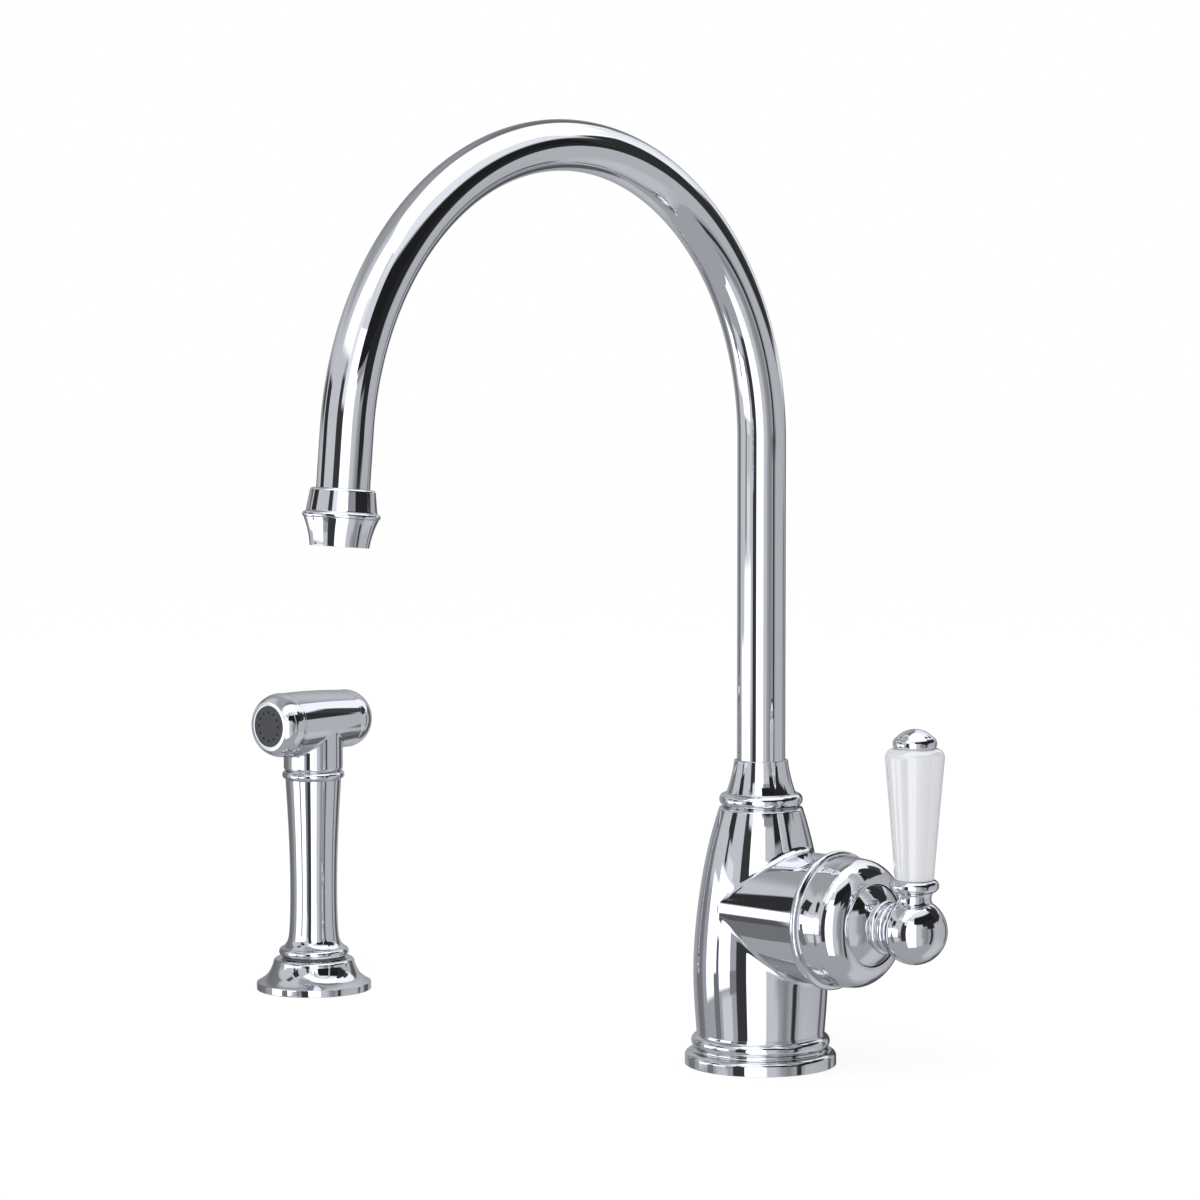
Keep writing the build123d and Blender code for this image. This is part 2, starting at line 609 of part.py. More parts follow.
grub -= extrude(Pos(0, 0, VALVE_Z - grub_outer) * RegularPolygon(GRUB_R / 2, 6), GRUB_LENGTH / 3)
keep("hub_grub_screw", Pos(grub_x, 0, 0) * grub)

stem_shoulder = stem_ball_at + STEM_NECK_LENGTH
stem = rod(STEM_R, stem_shoulder, second_end) + rod(STEM_NECK_R, stem_ball_at, stem_shoulder + OVERLAP)
stem += Pos(0, 0, stem_ball_at) * Sphere(STEM_BALL_R)
stem -= cross_pin * Cylinder(PIVOT_PIN_R + RUNNING, 4 * STEM_R)
keep("lever_stem", valve * stem)

# ---------------------------------------------------------------- lever, local origin on its own axis
collar_z = collar_neck_z + COLLAR_NECK_LENGTH
grip_z = collar_z + COLLAR_LENGTH
finial_z = grip_z + GRIP_LENGTH
rod_bottom = collar_neck_z - ROD_DEPTH
rod_top = finial_z + 0.6 * FINIAL_HEIGHT
collar_middle = collar_z + COLLAR_LENGTH / 2
collar = turned(
    (ROD_R + THREAD, collar_neck_z),
    (COLLAR_NECK_R, collar_neck_z),
    [(COLLAR_NECK_R - COLLAR_NECK_WAIST, collar_neck_z + COLLAR_NECK_LENGTH / 2), (GRIP_FOOT_R, collar_z)],
    [(COLLAR_R, collar_middle), (GRIP_FOOT_R, grip_z)],
    (ROD_R + THREAD, grip_z),
)
keep("lever_collar", lever * collar)
keep("lever_rod", lever * rod(ROD_R, rod_bottom, rod_top))
shoulder_z = finial_z - GRIP_SHOULDER
rounding_r, rounding_z = 0.7 * GRIP_HEAD_R + 0.3 * GRIP_TOP_R, shoulder_z + 0.72 * GRIP_SHOULDER
grip = turned(
    (ROD_R + CLEAR, grip_z),
    (GRIP_FOOT_R, grip_z),
    [(0.52 * GRIP_FOOT_R + 0.48 * GRIP_HEAD_R, (grip_z + shoulder_z) / 2), (GRIP_HEAD_R, shoulder_z)],
    [(rounding_r, rounding_z), (GRIP_TOP_R, finial_z)],
    (ROD_R + CLEAR, finial_z),
)
washers = []
for washer_z in (grip_z, finial_z - GRIP_WASHER_THICKNESS):
    grip -= rod(GRIP_WASHER_R + THREAD, washer_z, washer_z + GRIP_WASHER_THICKNESS)
    washers.append(lever * ring(GRIP_WASHER_R, ROD_R + THREAD, washer_z, washer_z + GRIP_WASHER_THICKNESS))
keep("porcelain_grip", lever * grip)
keep("grip_washers", *washers)
finial_edge_z = finial_z + FINIAL_EDGE
finial = turned(
    (0, finial_z),
    (GRIP_TOP_R, finial_z),
    [(FINIAL_R, (finial_z + finial_edge_z) / 2), (FINIAL_SHOULDER_R, finial_edge_z)],
    dome(FINIAL_SHOULDER_R, finial_edge_z, finial_z + FINIAL_HEIGHT),
)
keep("lever_finial", lever * (finial - rod(ROD_R + THREAD, finial_z, rod_top + CLEAR)))

# ---------------------------------------------------------------- diverter under the spout
keep("diverter_seat", ring(SEAT_R, SEAT_BORE_R, seat_bottom, seat_top))
piston_bottom = chamber_floor + CLEAR
disc_top = piston_bottom + PISTON_DISC
head_top = seat_bottom - DIVERTER_TRAVEL - CLEAR
piston = rod(DIVERTER_R - RUNNING, piston_bottom, disc_top)
piston += rod(PISTON_STEM_R, piston_bottom, head_top) + rod(PISTON_HEAD_R, head_top - PISTON_HEAD, head_top)
piston_hole = rod(MIXED_R / 2, piston_bottom, disc_top)
for hole in round_about(PISTON_HOLES, (PISTON_STEM_R + DIVERTER_R) / 2, piston_hole):
    piston -= hole
keep("diverter_piston", piston)
spring_r = (PISTON_HEAD_R + DIVERTER_R) / 2
keep("diverter_spring", coil(spring_r, disc_top + RUNNING, seat_bottom - RUNNING))

# ---------------------------------------------------------------- spout cone, ferrule and swivel rings
cone_bead_z = BODY_HEIGHT + CONE_BEAD_HEIGHT
cone_top = BODY_HEIGHT + CONE_HEIGHT
cone = turned(
    (CONE_BORE_R, spigot_bottom),
    (CONE_SPIGOT_R, spigot_bottom),
    (CONE_SPIGOT_R, BODY_HEIGHT),
    (CONE_CREASE_R, BODY_HEIGHT),
    [(CONE_BEAD_R, (BODY_HEIGHT + cone_bead_z) / 2), (CONE_FOOT_R, cone_bead_z)],
    [(CONE_WAIST_R, cone_bead_z + 0.48 * (cone_top - cone_bead_z)), (CONE_TOP_R, cone_top)],
    (TUBE_R + RUNNING, cone_top),
    (TUBE_R + RUNNING, BODY_HEIGHT + CONE_BORE_HEIGHT),
    (CONE_BORE_R, BODY_HEIGHT + CONE_BORE_HEIGHT),
)
keep("spout_cone", cone)
tube_foot = flange_bottom - TUBE_SEAT
ferrule = turned(
    (FERRULE_BORE_R, ferrule_bottom),
    (FERRULE_R, ferrule_bottom),
    (FERRULE_R, flange_bottom),
    (FERRULE_FLANGE_R, flange_bottom),
    (FERRULE_FLANGE_R, flange_top),
    (FERRULE_R, flange_top),
    (FERRULE_R, ferrule_bottom + FERRULE_LENGTH + CLIP_THICKNESS),
    (TUBE_R + THREAD, ferrule_bottom + FERRULE_LENGTH + CLIP_THICKNESS),
    (TUBE_R + THREAD, tube_foot),
    (FERRULE_BORE_R, tube_foot),
)
groove_r = FERRULE_R - 2 * O_RING_R
groove_half = O_RING_R + THREAD
spout_o_rings = []
for index in range(O_RING_COUNT):
    ring_z = ferrule_bottom + (index + 0.75) * FERRULE_SKIRT / (O_RING_COUNT + 1)
    ferrule -= ring(FERRULE_R + OVERLAP, groove_r - THREAD, ring_z - groove_half, ring_z + groove_half)
    spout_o_rings.append(o_ring(groove_r + O_RING_R, ring_z))
keep("spout_ferrule", ferrule)
keep("spout_o_rings", *spout_o_rings)
keep("spout_clip", ring(CONE_SPIGOT_R - CLEAR, FERRULE_R + THREAD, flange_top, clip_top))
glide_top = BODY_HEIGHT + CONE_BORE_HEIGHT - CLEAR
glide_ring = ring(CONE_BORE_R - RUNNING, TUBE_R + THREAD, glide_top - GLIDE_RING_LENGTH, glide_top)
keep("spout_glide_ring", glide_ring)

# ---------------------------------------------------------------- spout tube and nozzle
sweep_angle = radians(ARCH_SWEEP)
tail_direction = Vector(0, -sin(sweep_angle), cos(sweep_angle))
arch_end = Vector(0, -ARCH_R * (1 - cos(sweep_angle)), TUBE_RISE_Z + ARCH_R * sin(sweep_angle))
arch_middle = (0, -ARCH_R * (1 - cos(sweep_angle / 2)), TUBE_RISE_Z + ARCH_R * sin(sweep_angle / 2))
nozzle_root = arch_end + tail_direction * TUBE_TAIL
tube_end = nozzle_root + tail_direction * (NOZZLE_BEAD_AT - CLEAR)
tube_path = Wire(
    [
        Line((0, 0, tube_foot), (0, 0, TUBE_RISE_Z)).edge(),
        ThreePointArc((0, 0, TUBE_RISE_Z), arch_middle, arch_end).edge(),
        Line(arch_end, tube_end).edge(),
    ]
)
tube_section = Pos(0, 0, tube_foot) * (Circle(TUBE_R) - Circle(TUBE_R - TUBE_WALL))
keep("spout_tube", sweep(tube_section, path=tube_path))

nozzle = Plane(origin=nozzle_root, x_dir=(1, 0, 0), z_dir=tail_direction).location  # local Z to the outlet
bead_from = NOZZLE_BEAD_AT - NOZZLE_BEAD_LENGTH / 2
bead_to = NOZZLE_BEAD_AT + NOZZLE_BEAD_LENGTH / 2
collar_shell = turned(
    (TUBE_R + THREAD, 0),
    (NOZZLE_COLLAR_R - NOZZLE_EDGE, 0),
    [(NOZZLE_COLLAR_R - 0.3 * NOZZLE_EDGE, 0.3 * NOZZLE_EDGE), (NOZZLE_COLLAR_R, NOZZLE_EDGE)],
    (NOZZLE_SHOULDER_R, bead_from),
    [(NOZZLE_BEAD_R, NOZZLE_BEAD_AT), (NOZZLE_SKIRT_R, bead_to)],
    (TUBE_R + THREAD, bead_to),
)
keep("nozzle_collar", nozzle * collar_shell)
aerator_bore_r = NOZZLE_OUTLET_R - AERATOR_WALL
skirt_middle = (bead_to + NOZZLE_LENGTH) / 2
aerator_shell = turned(
    (aerator_bore_r, bead_to),
    (NOZZLE_SKIRT_R, bead_to),
    [(0.34 * NOZZLE_SKIRT_R + 0.66 * NOZZLE_OUTLET_R, skirt_middle), (NOZZLE_OUTLET_R, NOZZLE_LENGTH)],
    (aerator_bore_r, NOZZLE_LENGTH),
)
keep("aerator_housing", nozzle * aerator_shell)
insert_end = NOZZLE_LENGTH - AERATOR_RECESS
insert_start = bead_to + AERATOR_WASHER
insert = rod(aerator_bore_r - THREAD, insert_start, insert_end)
insert -= rod(aerator_bore_r - AERATOR_WALL, insert_start, insert_end - AERATOR_PLATE)
stream = rod(AERATOR_HOLE_R, insert_start, insert_end)
for hole in round_about(AERATOR_INNER_HOLES, 0.33 * aerator_bore_r, stream):
    insert -= hole
for hole in round_about(AERATOR_OUTER_HOLES, 0.62 * aerator_bore_r, stream):
    insert -= hole
keep("aerator_insert", nozzle * insert)
washer_bore_r = aerator_bore_r - 2 * AERATOR_WALL
keep("aerator_washer", nozzle * ring(aerator_bore_r - THREAD, washer_bore_r, bead_to, insert_start))

# ---------------------------------------------------------------- holder of the hand spray
liner_bore_r = LINER_R - LINER_WALL
liner_top = HOLDER_HEIGHT + LINER_FLANGE
holder_gasket_r = HOLDER_R - GASKET_INSET
holder_gasket_bore_r = holder_gasket_r - HOLDER_GASKET_WIDTH
bell_top = HOLDER_HEIGHT - HOLDER_LIP
bell_span = bell_top - HOLDER_EDGE
lip_corner = (0.68 * HOLDER_THROAT_R + 0.32 * HOLDER_TOP_R, HOLDER_HEIGHT - 0.3 * HOLDER_LIP)
holder = turned(
    (LINER_R + THREAD, 0),
    (HOLDER_R, 0),
    (HOLDER_R, HOLDER_EDGE),
    [
        (0.71 * HOLDER_R + 0.29 * HOLDER_THROAT_R, HOLDER_EDGE + 0.14 * bell_span),
        (0.375 * HOLDER_R + 0.625 * HOLDER_THROAT_R, HOLDER_EDGE + 0.375 * bell_span),
        (0.14 * HOLDER_R + 0.86 * HOLDER_THROAT_R, HOLDER_EDGE + 0.69 * bell_span),
        (HOLDER_THROAT_R, bell_top),
    ],
    [lip_corner, (HOLDER_TOP_R, HOLDER_HEIGHT)],
    (LINER_R + THREAD, HOLDER_HEIGHT),
)
holder -= ring(holder_gasket_r, holder_gasket_bore_r, 0, GASKET_THICKNESS)
holder -= rod(HOLDER_SHANK_R + THREAD, 0, HOLDER_SHANK_GRIP)
keep("spray_holder", spray * holder)
holder_gasket = ring(holder_gasket_r - THREAD, holder_gasket_bore_r + THREAD, 0, GASKET_THICKNESS)
keep("spray_holder_gasket", spray * holder_gasket)
liner_bottom = liner_top - LINER_DEPTH
holder_shank = ring(HOLDER_SHANK_R, LINER_R + THREAD, -HOLDER_SHANK_DROP, HOLDER_SHANK_GRIP)
holder_shank -= rod(HOLDER_SHANK_BORE_R, -HOLDER_SHANK_DROP, liner_bottom)
keep("spray_holder_shank", spray * holder_shank)
liner = ring(LINER_R, liner_bore_r, liner_bottom, HOLDER_HEIGHT)
liner += ring(LINER_FLANGE_R, liner_bore_r, HOLDER_HEIGHT, liner_top)
keep("spray_holder_liner", spray * liner)
holder_nut_top = -DECK_THICKNESS - STEEL_WASHER_THICKNESS
holder_nut_bottom = holder_nut_top - NUT_HEIGHT
holder_washer = ring(holder_gasket_r, HOLDER_SHANK_R + CLEAR, holder_nut_top, -DECK_THICKNESS)
keep("spray_holder_washer", spray * holder_washer)
holder_nut_r = HOLDER_SHANK_R + HOLDER_NUT_WALL
wing_bar = 2 * (holder_nut_r + HOLDER_WING_LENGTH)
holder_nut = rod(holder_nut_r, holder_nut_bottom, holder_nut_top)
holder_nut += block(wing_bar, HOLDER_WING_THICKNESS, holder_nut_bottom, holder_nut_top)
holder_nut -= rod(HOLDER_SHANK_R + THREAD, holder_nut_bottom, holder_nut_top)
keep("spray_holder_nut", spray * holder_nut)

# ---------------------------------------------------------------- hose connector on which the handset turns
handle_z = liner_top + CLEAR
connector_shoulder = handle_z - CLEAR
neck_bore_r = CONNECTOR_NECK_R + RUNNING
neck_top = handle_z + CONNECTOR_NECK_LENGTH
connector_clip_z = neck_top - 2 * CONNECTOR_CLIP
connector = rod(liner_bore_r - CLEAR, -CONNECTOR_DROP, connector_shoulder)
connector += rod(CONNECTOR_NECK_R, -CONNECTOR_DROP, neck_top)
connector -= rod(CONNECTOR_BORE_R, -CONNECTOR_DROP, neck_top)
connector -= rod(HOSE_THREAD_R, -CONNECTOR_DROP, -CONNECTOR_DROP + HOSE_THREAD_LENGTH)
clip_groove_r = CONNECTOR_NECK_R - CONNECTOR_CLIP_BITE
connector_clip_top = connector_clip_z + CONNECTOR_CLIP
connector -= ring(CONNECTOR_NECK_R + OVERLAP, clip_groove_r, connector_clip_z, connector_clip_top)
connector_seal_z = handle_z + 0.4 * CONNECTOR_NECK_LENGTH
connector_groove_r = CONNECTOR_NECK_R - 2 * O_RING_R
seal_low, seal_high = connector_seal_z - groove_half, connector_seal_z + groove_half
connector -= ring(CONNECTOR_NECK_R + OVERLAP, connector_groove_r - THREAD, seal_low, seal_high)
keep("hose_connector", spray * connector)
keep("connector_o_ring", spray * o_ring(connector_groove_r + O_RING_R, connector_seal_z))
clip = ring(CONNECTOR_CLIP_R, clip_groove_r, connector_clip_z + THREAD, connector_clip_top - THREAD)
clip_mouth = block(CONNECTOR_NECK_R, CONNECTOR_CLIP_MOUTH, connector_clip_z, connector_clip_top)
clip -= Pos(CONNECTOR_NECK_R) * clip_mouth
keep("connector_clip", spray * clip)

# ---------------------------------------------------------------- handset
handle_top = handle_z + HANDLE_HEIGHT
bead_low = handle_top - HANDLE_BEAD_HEIGHT
ring_top = handle_z + GRIP_RING_HEIGHT
spigot_low = handle_top - HEAD_SPIGOT_LENGTH
handle = turned(
    (neck_bore_r, handle_z),
    (GRIP_RING_R - GRIP_RING_ROUND, handle_z),
    [(GRIP_RING_R, handle_z + GRIP_RING_HEIGHT / 2), (GRIP_RING_R - GRIP_RING_ROUND, ring_top)],
    [
        (GRIP_THROAT_R, handle_z + 0.063 * HANDLE_HEIGHT),
        (0.48 * GRIP_WAIST_R + 0.52 * GRIP_THROAT_R, handle_z + 0.086 * HANDLE_HEIGHT),
        (0.7 * GRIP_WAIST_R + 0.3 * GRIP_THROAT_R, handle_z + 0.115 * HANDLE_HEIGHT),
        (0.92 * GRIP_WAIST_R + 0.08 * GRIP_THROAT_R, handle_z + 0.2 * HANDLE_HEIGHT),
        (GRIP_WAIST_R, handle_z + 0.42 * HANDLE_HEIGHT),
        (0.5 * (GRIP_WAIST_R + GRIP_FLARE_R), handle_z + 0.755 * HANDLE_HEIGHT),
        (GRIP_FLARE_R, bead_low),
    ],
    [(HANDLE_BEAD_R, (bead_low + handle_top) / 2), (STUB_WAIST_R, handle_top)],
    (HEAD_SPIGOT_R + THREAD, handle_top),
    (HEAD_SPIGOT_R + THREAD, spigot_low),
    (HANDLE_CHANNEL_R, spigot_low),
    (HANDLE_CHANNEL_R, neck_top + CLEAR),
    (neck_bore_r, neck_top + CLEAR),
)
clip_room_r = CONNECTOR_CLIP_R + CLEAR
handle -= ring(clip_room_r, neck_bore_r - OVERLAP, connector_clip_z - CLEAR, connector_clip_top + CLEAR)
keep("spray_grip", spray * handle)

web_front = -HANDLE_CHANNEL_R - HEAD_WEB_SETBACK
web_rear = web_front - HEAD_WEB
stub_top = HEAD_AXIS_Z - HEAD_R / 4
flare_r = 0.35 * STUB_WAIST_R + 0.65 * STUB_R
stub = turned(
    (0, spigot_low),
    (HEAD_SPIGOT_R, spigot_low),
    (HEAD_SPIGOT_R, handle_top),
    (STUB_WAIST_R, handle_top),
    [(flare_r, handle_top + 0.3 * STUB_FLARE), (STUB_R, handle_top + STUB_FLARE)],
    (STUB_R, stub_top),
    (0, stub_top),
)
barrel_middle = (HEAD_REACH - HEAD_REAR) / 2
head_barrel = turned(
    (0, -HEAD_REAR),
    (HEAD_REAR_R, -HEAD_REAR),
    [(HEAD_MIDDLE_R, barrel_middle), (HEAD_R, HEAD_REACH)],
    (0, HEAD_REACH),
)
spray_head = spray * stub + head * head_barrel
spray_head -= spray * rod(HANDLE_CHANNEL_R, spigot_low, HEAD_AXIS_Z)
spray_head -= head * rod(HEAD_BORE_R, web_front, HEAD_REACH)
spray_head -= head * rod(HEAD_BORE_R, -HEAD_REAR, web_rear)
spray_head -= head * rod(VALVE_STEM_R + RUNNING, web_rear, web_front)
keep("spray_head", spray_head)

face_at = HEAD_REACH + FRONT_CAP_LENGTH
rose_front = face_at - ROSE_SINK
rose_back = rose_front - ROSE_THICKNESS
gasket_back = rose_back - ROSE_GASKET
front_cap = turned(
    (ROSE_R - ROSE_LEDGE, HEAD_REACH - FRONT_SPIGOT),
    (HEAD_BORE_R - THREAD, HEAD_REACH - FRONT_SPIGOT),
    (HEAD_BORE_R - THREAD, HEAD_REACH),
    (HEAD_R, HEAD_REACH),
    (HEAD_R, HEAD_REACH + 0.1 * FRONT_CAP_LENGTH),
    [(0.25 * FRONT_FACE_R + 0.75 * HEAD_R, HEAD_REACH + 0.68 * FRONT_CAP_LENGTH), (FRONT_FACE_R, face_at)],
    (ROSE_R + THREAD, face_at),
    (ROSE_R + THREAD, gasket_back),
    (ROSE_R - ROSE_LEDGE, gasket_back),
)
keep("spray_front_cap", head * front_cap)
rose = rod(ROSE_R, rose_back, rose_front)
for hole in round_about(ROSE_HOLE_COUNT, ROSE_HOLE_CIRCLE_R, rod(ROSE_HOLE_R, rose_back, rose_front)):
    rose -= hole
keep("spray_rose", head * rose)
keep("rose_gasket", head * ring(ROSE_R, ROSE_R - ROSE_GASKET_WIDTH, gasket_back, rose_back))

seat_front = VALVE_SEAT_AT + VALVE_SEAT
keep("spray_valve_seat", head * ring(HEAD_BORE_R - THREAD, VALVE_SEAT_HOLE_R, VALVE_SEAT_AT, seat_front))
washer_at = seat_front + CLEAR
plug_at = washer_at + VALVE_WASHER
plug_end = plug_at + VALVE_PLUG
cap_end = HEAD_REAR + REAR_CAP_LENGTH
lip_inner = cap_end - REAR_CAP_LIP
flange_rear = lip_inner - CLEAR
flange_front = flange_rear - BUTTON_FLANGE
valve_stem = rod(VALVE_STEM_R, -flange_front, plug_end) + rod(VALVE_PLUG_R, plug_at, plug_end)
keep("spray_valve_stem", head * valve_stem)
keep("spray_valve_washer", head * ring(VALVE_PLUG_R, VALVE_STEM_R + THREAD, washer_at, plug_at))

corner_r = 0.2 * BUTTON_R + 0.8 * HEAD_REAR_R
rear_cap = turned(
    (BUTTON_FLANGE_R + CLEAR, HEAD_REAR - REAR_CAP_SPIGOT),
    (HEAD_BORE_R - THREAD, HEAD_REAR - REAR_CAP_SPIGOT),
    (HEAD_BORE_R - THREAD, HEAD_REAR),
    (HEAD_REAR_R, HEAD_REAR),
    [(corner_r, HEAD_REAR + 0.62 * REAR_CAP_LENGTH), (BUTTON_R + REAR_CAP_RIM, cap_end)],
    (BUTTON_R + CLEAR, cap_end),
    (BUTTON_R + CLEAR, lip_inner),
    (BUTTON_FLANGE_R + CLEAR, lip_inner),
)
backward = Location((0, 0, 0), (180, 0, 0))  # turns a piece drawn toward the front to face the rear
keep("spray_rear_cap", head * backward * rear_cap)
button_edge = cap_end + BUTTON_EDGE
button_tip = cap_end + BUTTON_STAND
button = turned(
    (0, flange_front),
    (BUTTON_FLANGE_R, flange_front),
    (BUTTON_FLANGE_R, flange_rear),
    (BUTTON_R, flange_rear),
    (BUTTON_R, button_edge),
    dome(BUTTON_R, button_edge, button_tip),
)
keep("spray_button", head * backward * button)
spring_r = VALVE_STEM_R + 3 * SPRING_WIRE_R
keep("button_spring", head * coil(spring_r, -flange_front + RUNNING, web_rear - RUNNING))

# ---------------------------------------------------------------- write every node
os.makedirs("parts", exist_ok=True)
for name, shape in PARTS.items():
    export_step(shape, f"parts/{name}.step")
print(len(PARTS), "nodes written")
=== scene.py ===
import math

import bmesh
import bpy
import numpy as np
from mathutils import Matrix, Vector
from mathutils.geometry import delaunay_2d_cdt


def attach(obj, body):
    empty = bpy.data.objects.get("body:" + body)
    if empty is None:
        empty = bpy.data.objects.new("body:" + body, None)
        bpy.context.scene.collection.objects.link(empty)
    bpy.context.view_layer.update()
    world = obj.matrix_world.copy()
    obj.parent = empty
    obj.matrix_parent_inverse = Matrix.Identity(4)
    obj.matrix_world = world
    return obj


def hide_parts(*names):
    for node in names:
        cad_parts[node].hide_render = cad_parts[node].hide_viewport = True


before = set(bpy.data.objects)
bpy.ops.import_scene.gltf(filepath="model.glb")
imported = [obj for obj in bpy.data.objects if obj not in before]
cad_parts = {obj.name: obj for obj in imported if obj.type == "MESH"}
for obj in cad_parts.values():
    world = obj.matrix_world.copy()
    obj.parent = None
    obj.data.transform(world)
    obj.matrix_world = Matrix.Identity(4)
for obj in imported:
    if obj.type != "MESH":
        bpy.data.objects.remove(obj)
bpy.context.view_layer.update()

# ---------------------------------------------------------------------------------------------
# Stage: camera.  It stands level with the spout's arch, half right of the tap's front, and looks
# slightly down.  The small shift keeps both bases in the picture.
CAMERA_PLACE = (1.03372, -1.21681, 0.31155)
CAMERA_PITCH, CAMERA_TURN = 87.063, 42.616
SENSOR_WIDTH, LENS, LENS_SHIFT = 36.0, 122.616, -0.10
camera_data = bpy.data.cameras.new("camera")
camera_data.sensor_width, camera_data.lens, camera_data.shift_y = SENSOR_WIDTH, LENS, LENS_SHIFT
camera = bpy.data.objects.new("camera", camera_data)
camera.location = CAMERA_PLACE
camera.rotation_euler = (math.radians(CAMERA_PITCH), 0.0, math.radians(CAMERA_TURN))
bpy.context.scene.collection.objects.link(camera)
bpy.context.scene.camera = camera
bpy.context.scene.view_settings.view_transform = "Standard"


# ---------------------------------------------------------------------------------------------
# Stage: room light and floor.  The world gives an even soft light and is plain white to the
# camera, and one large lamp models the forms.  The floor is white too, with a faint shadow.
def new_material(name):
    """An empty node material and its node tree."""
    material = bpy.data.materials.new(name)
    material.use_nodes = True
    material.node_tree.nodes.clear()
    return material, material.node_tree


def feed(tree, socket, value):
    """Link an input to another node or to one of its outputs, or else set the input's value."""
    if isinstance(value, bpy.types.Node):
        value = value.outputs[0]
    if isinstance(value, bpy.types.NodeSocket):
        tree.links.new(value, socket)
    else:
        socket.default_value = value


def node(tree, kind, *feeds, **settings):
    """A new node.  Its properties and inputs are set by name, and its first inputs by their order."""
    made = tree.nodes.new(kind)
    for key, value in settings.items():
        if hasattr(made, key):
            setattr(made, key, value)
        else:
            feed(tree, made.inputs[key.replace("_", " ")], value)
    for socket, value in zip(made.inputs, feeds):
        feed(tree, socket, value)
    return made


def calculate(tree, operation, first, second=0.0):
    """A Math node on two numbers, nodes or outputs."""
    return node(tree, "ShaderNodeMath", first, second, operation=operation)


def blend(tree, share, first, second, label=""):
    """A mix of two colours by a share; each is a colour, a node or an output."""
    made = node(tree, "ShaderNodeMix", share, data_type="RGBA", label=label)
    feed(tree, made.inputs[6], first)
    feed(tree, made.inputs[7], second)
    return made.outputs[2]


WHITE = (1.0, 1.0, 1.0, 1.0)
ROOM_LEVEL = 0.72
world = bpy.data.worlds.new("room")
bpy.context.scene.world = world
world.use_nodes = True
tree = world.node_tree
tree.nodes.clear()
to_camera_only = node(tree, "ShaderNodeLightPath").outputs["Is Camera Ray"]
level = calculate(tree, "MAXIMUM", to_camera_only, ROOM_LEVEL)
node(tree, "ShaderNodeOutputWorld", node(tree, "ShaderNodeBackground", Color=WHITE, Strength=level))

FLOOR_R, FLOOR_SIDES = 8.0, 64
FLOOR_WHITE, FLOOR_SHADED = 0.80, 0.27
floor_mesh = bpy.data.meshes.new("floor")
floor_bm = bmesh.new()
bmesh.ops.create_circle(floor_bm, cap_ends=True, segments=FLOOR_SIDES, radius=FLOOR_R)
floor_bm.to_mesh(floor_mesh)
floor_bm.free()
floor = bpy.data.objects.new("floor", floor_mesh)
bpy.context.scene.collection.objects.link(floor)
material, tree = new_material("floor_white")
matte = node(tree, "ShaderNodeBsdfDiffuse", Color=WHITE)
shaded = node(tree, "ShaderNodeBsdfDiffuse", Color=(FLOOR_SHADED, FLOOR_SHADED, FLOOR_SHADED, 1.0))
white = node(tree, "ShaderNodeEmission", Strength=FLOOR_WHITE)
pale = node(tree, "ShaderNodeAddShader", shaded, white)
to_camera_only = node(tree, "ShaderNodeLightPath").outputs["Is Camera Ray"]
node(tree, "ShaderNodeOutputMaterial", node(tree, "ShaderNodeMixShader", to_camera_only, matte, pale))
floor_mesh.materials.append(material)
floor.visible_glossy = False

LAMP_WIDTH, LAMP_POWER = 1.2, 9.0
LAMP_PLACE, LAMP_AIM = Vector((0.5, -1.3, 1.6)), Vector((0.0, 0.0, 0.1))
lamp_data = bpy.data.lights.new("soft_lamp", "AREA")
lamp_data.shape, lamp_data.size, lamp_data.energy = "DISK", LAMP_WIDTH, LAMP_POWER
lamp = bpy.data.objects.new("soft_lamp", lamp_data)
lamp.location = LAMP_PLACE
lamp.rotation_euler = (LAMP_AIM - LAMP_PLACE).to_track_quat("-Z", "Y").to_euler()
lamp.visible_glossy = False
lamp.visible_camera = False
bpy.context.scene.collection.objects.link(lamp)

# ---------------------------------------------------------------------------------------------
# Stage: light tent.  A ball of soft cards close round the tap, seen by glossy surfaces alone: a
# white key card, grey fills, and black flags that draw the dark stripes.  A later card hangs in
# front of an earlier one.
TENT_R, TENT_SIDES, TENT_RINGS = 0.65, 64, 32
TENT_RIGHT, TENT_NEAR, TENT_HEIGHT = 0.10, 0.10, 0.05
TENT_GREY, CARD_TINT = (0.40, 0.41, 0.43), (0.965, 0.98, 1.02)
BOW_SPAN = 45
turn = math.radians(CAMERA_TURN)
to_right = Vector((math.cos(turn), math.sin(turn), 0.0))
to_camera = Vector((math.sin(turn), -math.cos(turn), 0.0))
tent_centre = TENT_RIGHT * to_right + TENT_NEAR * to_camera + Vector((0.0, 0.0, TENT_HEIGHT))
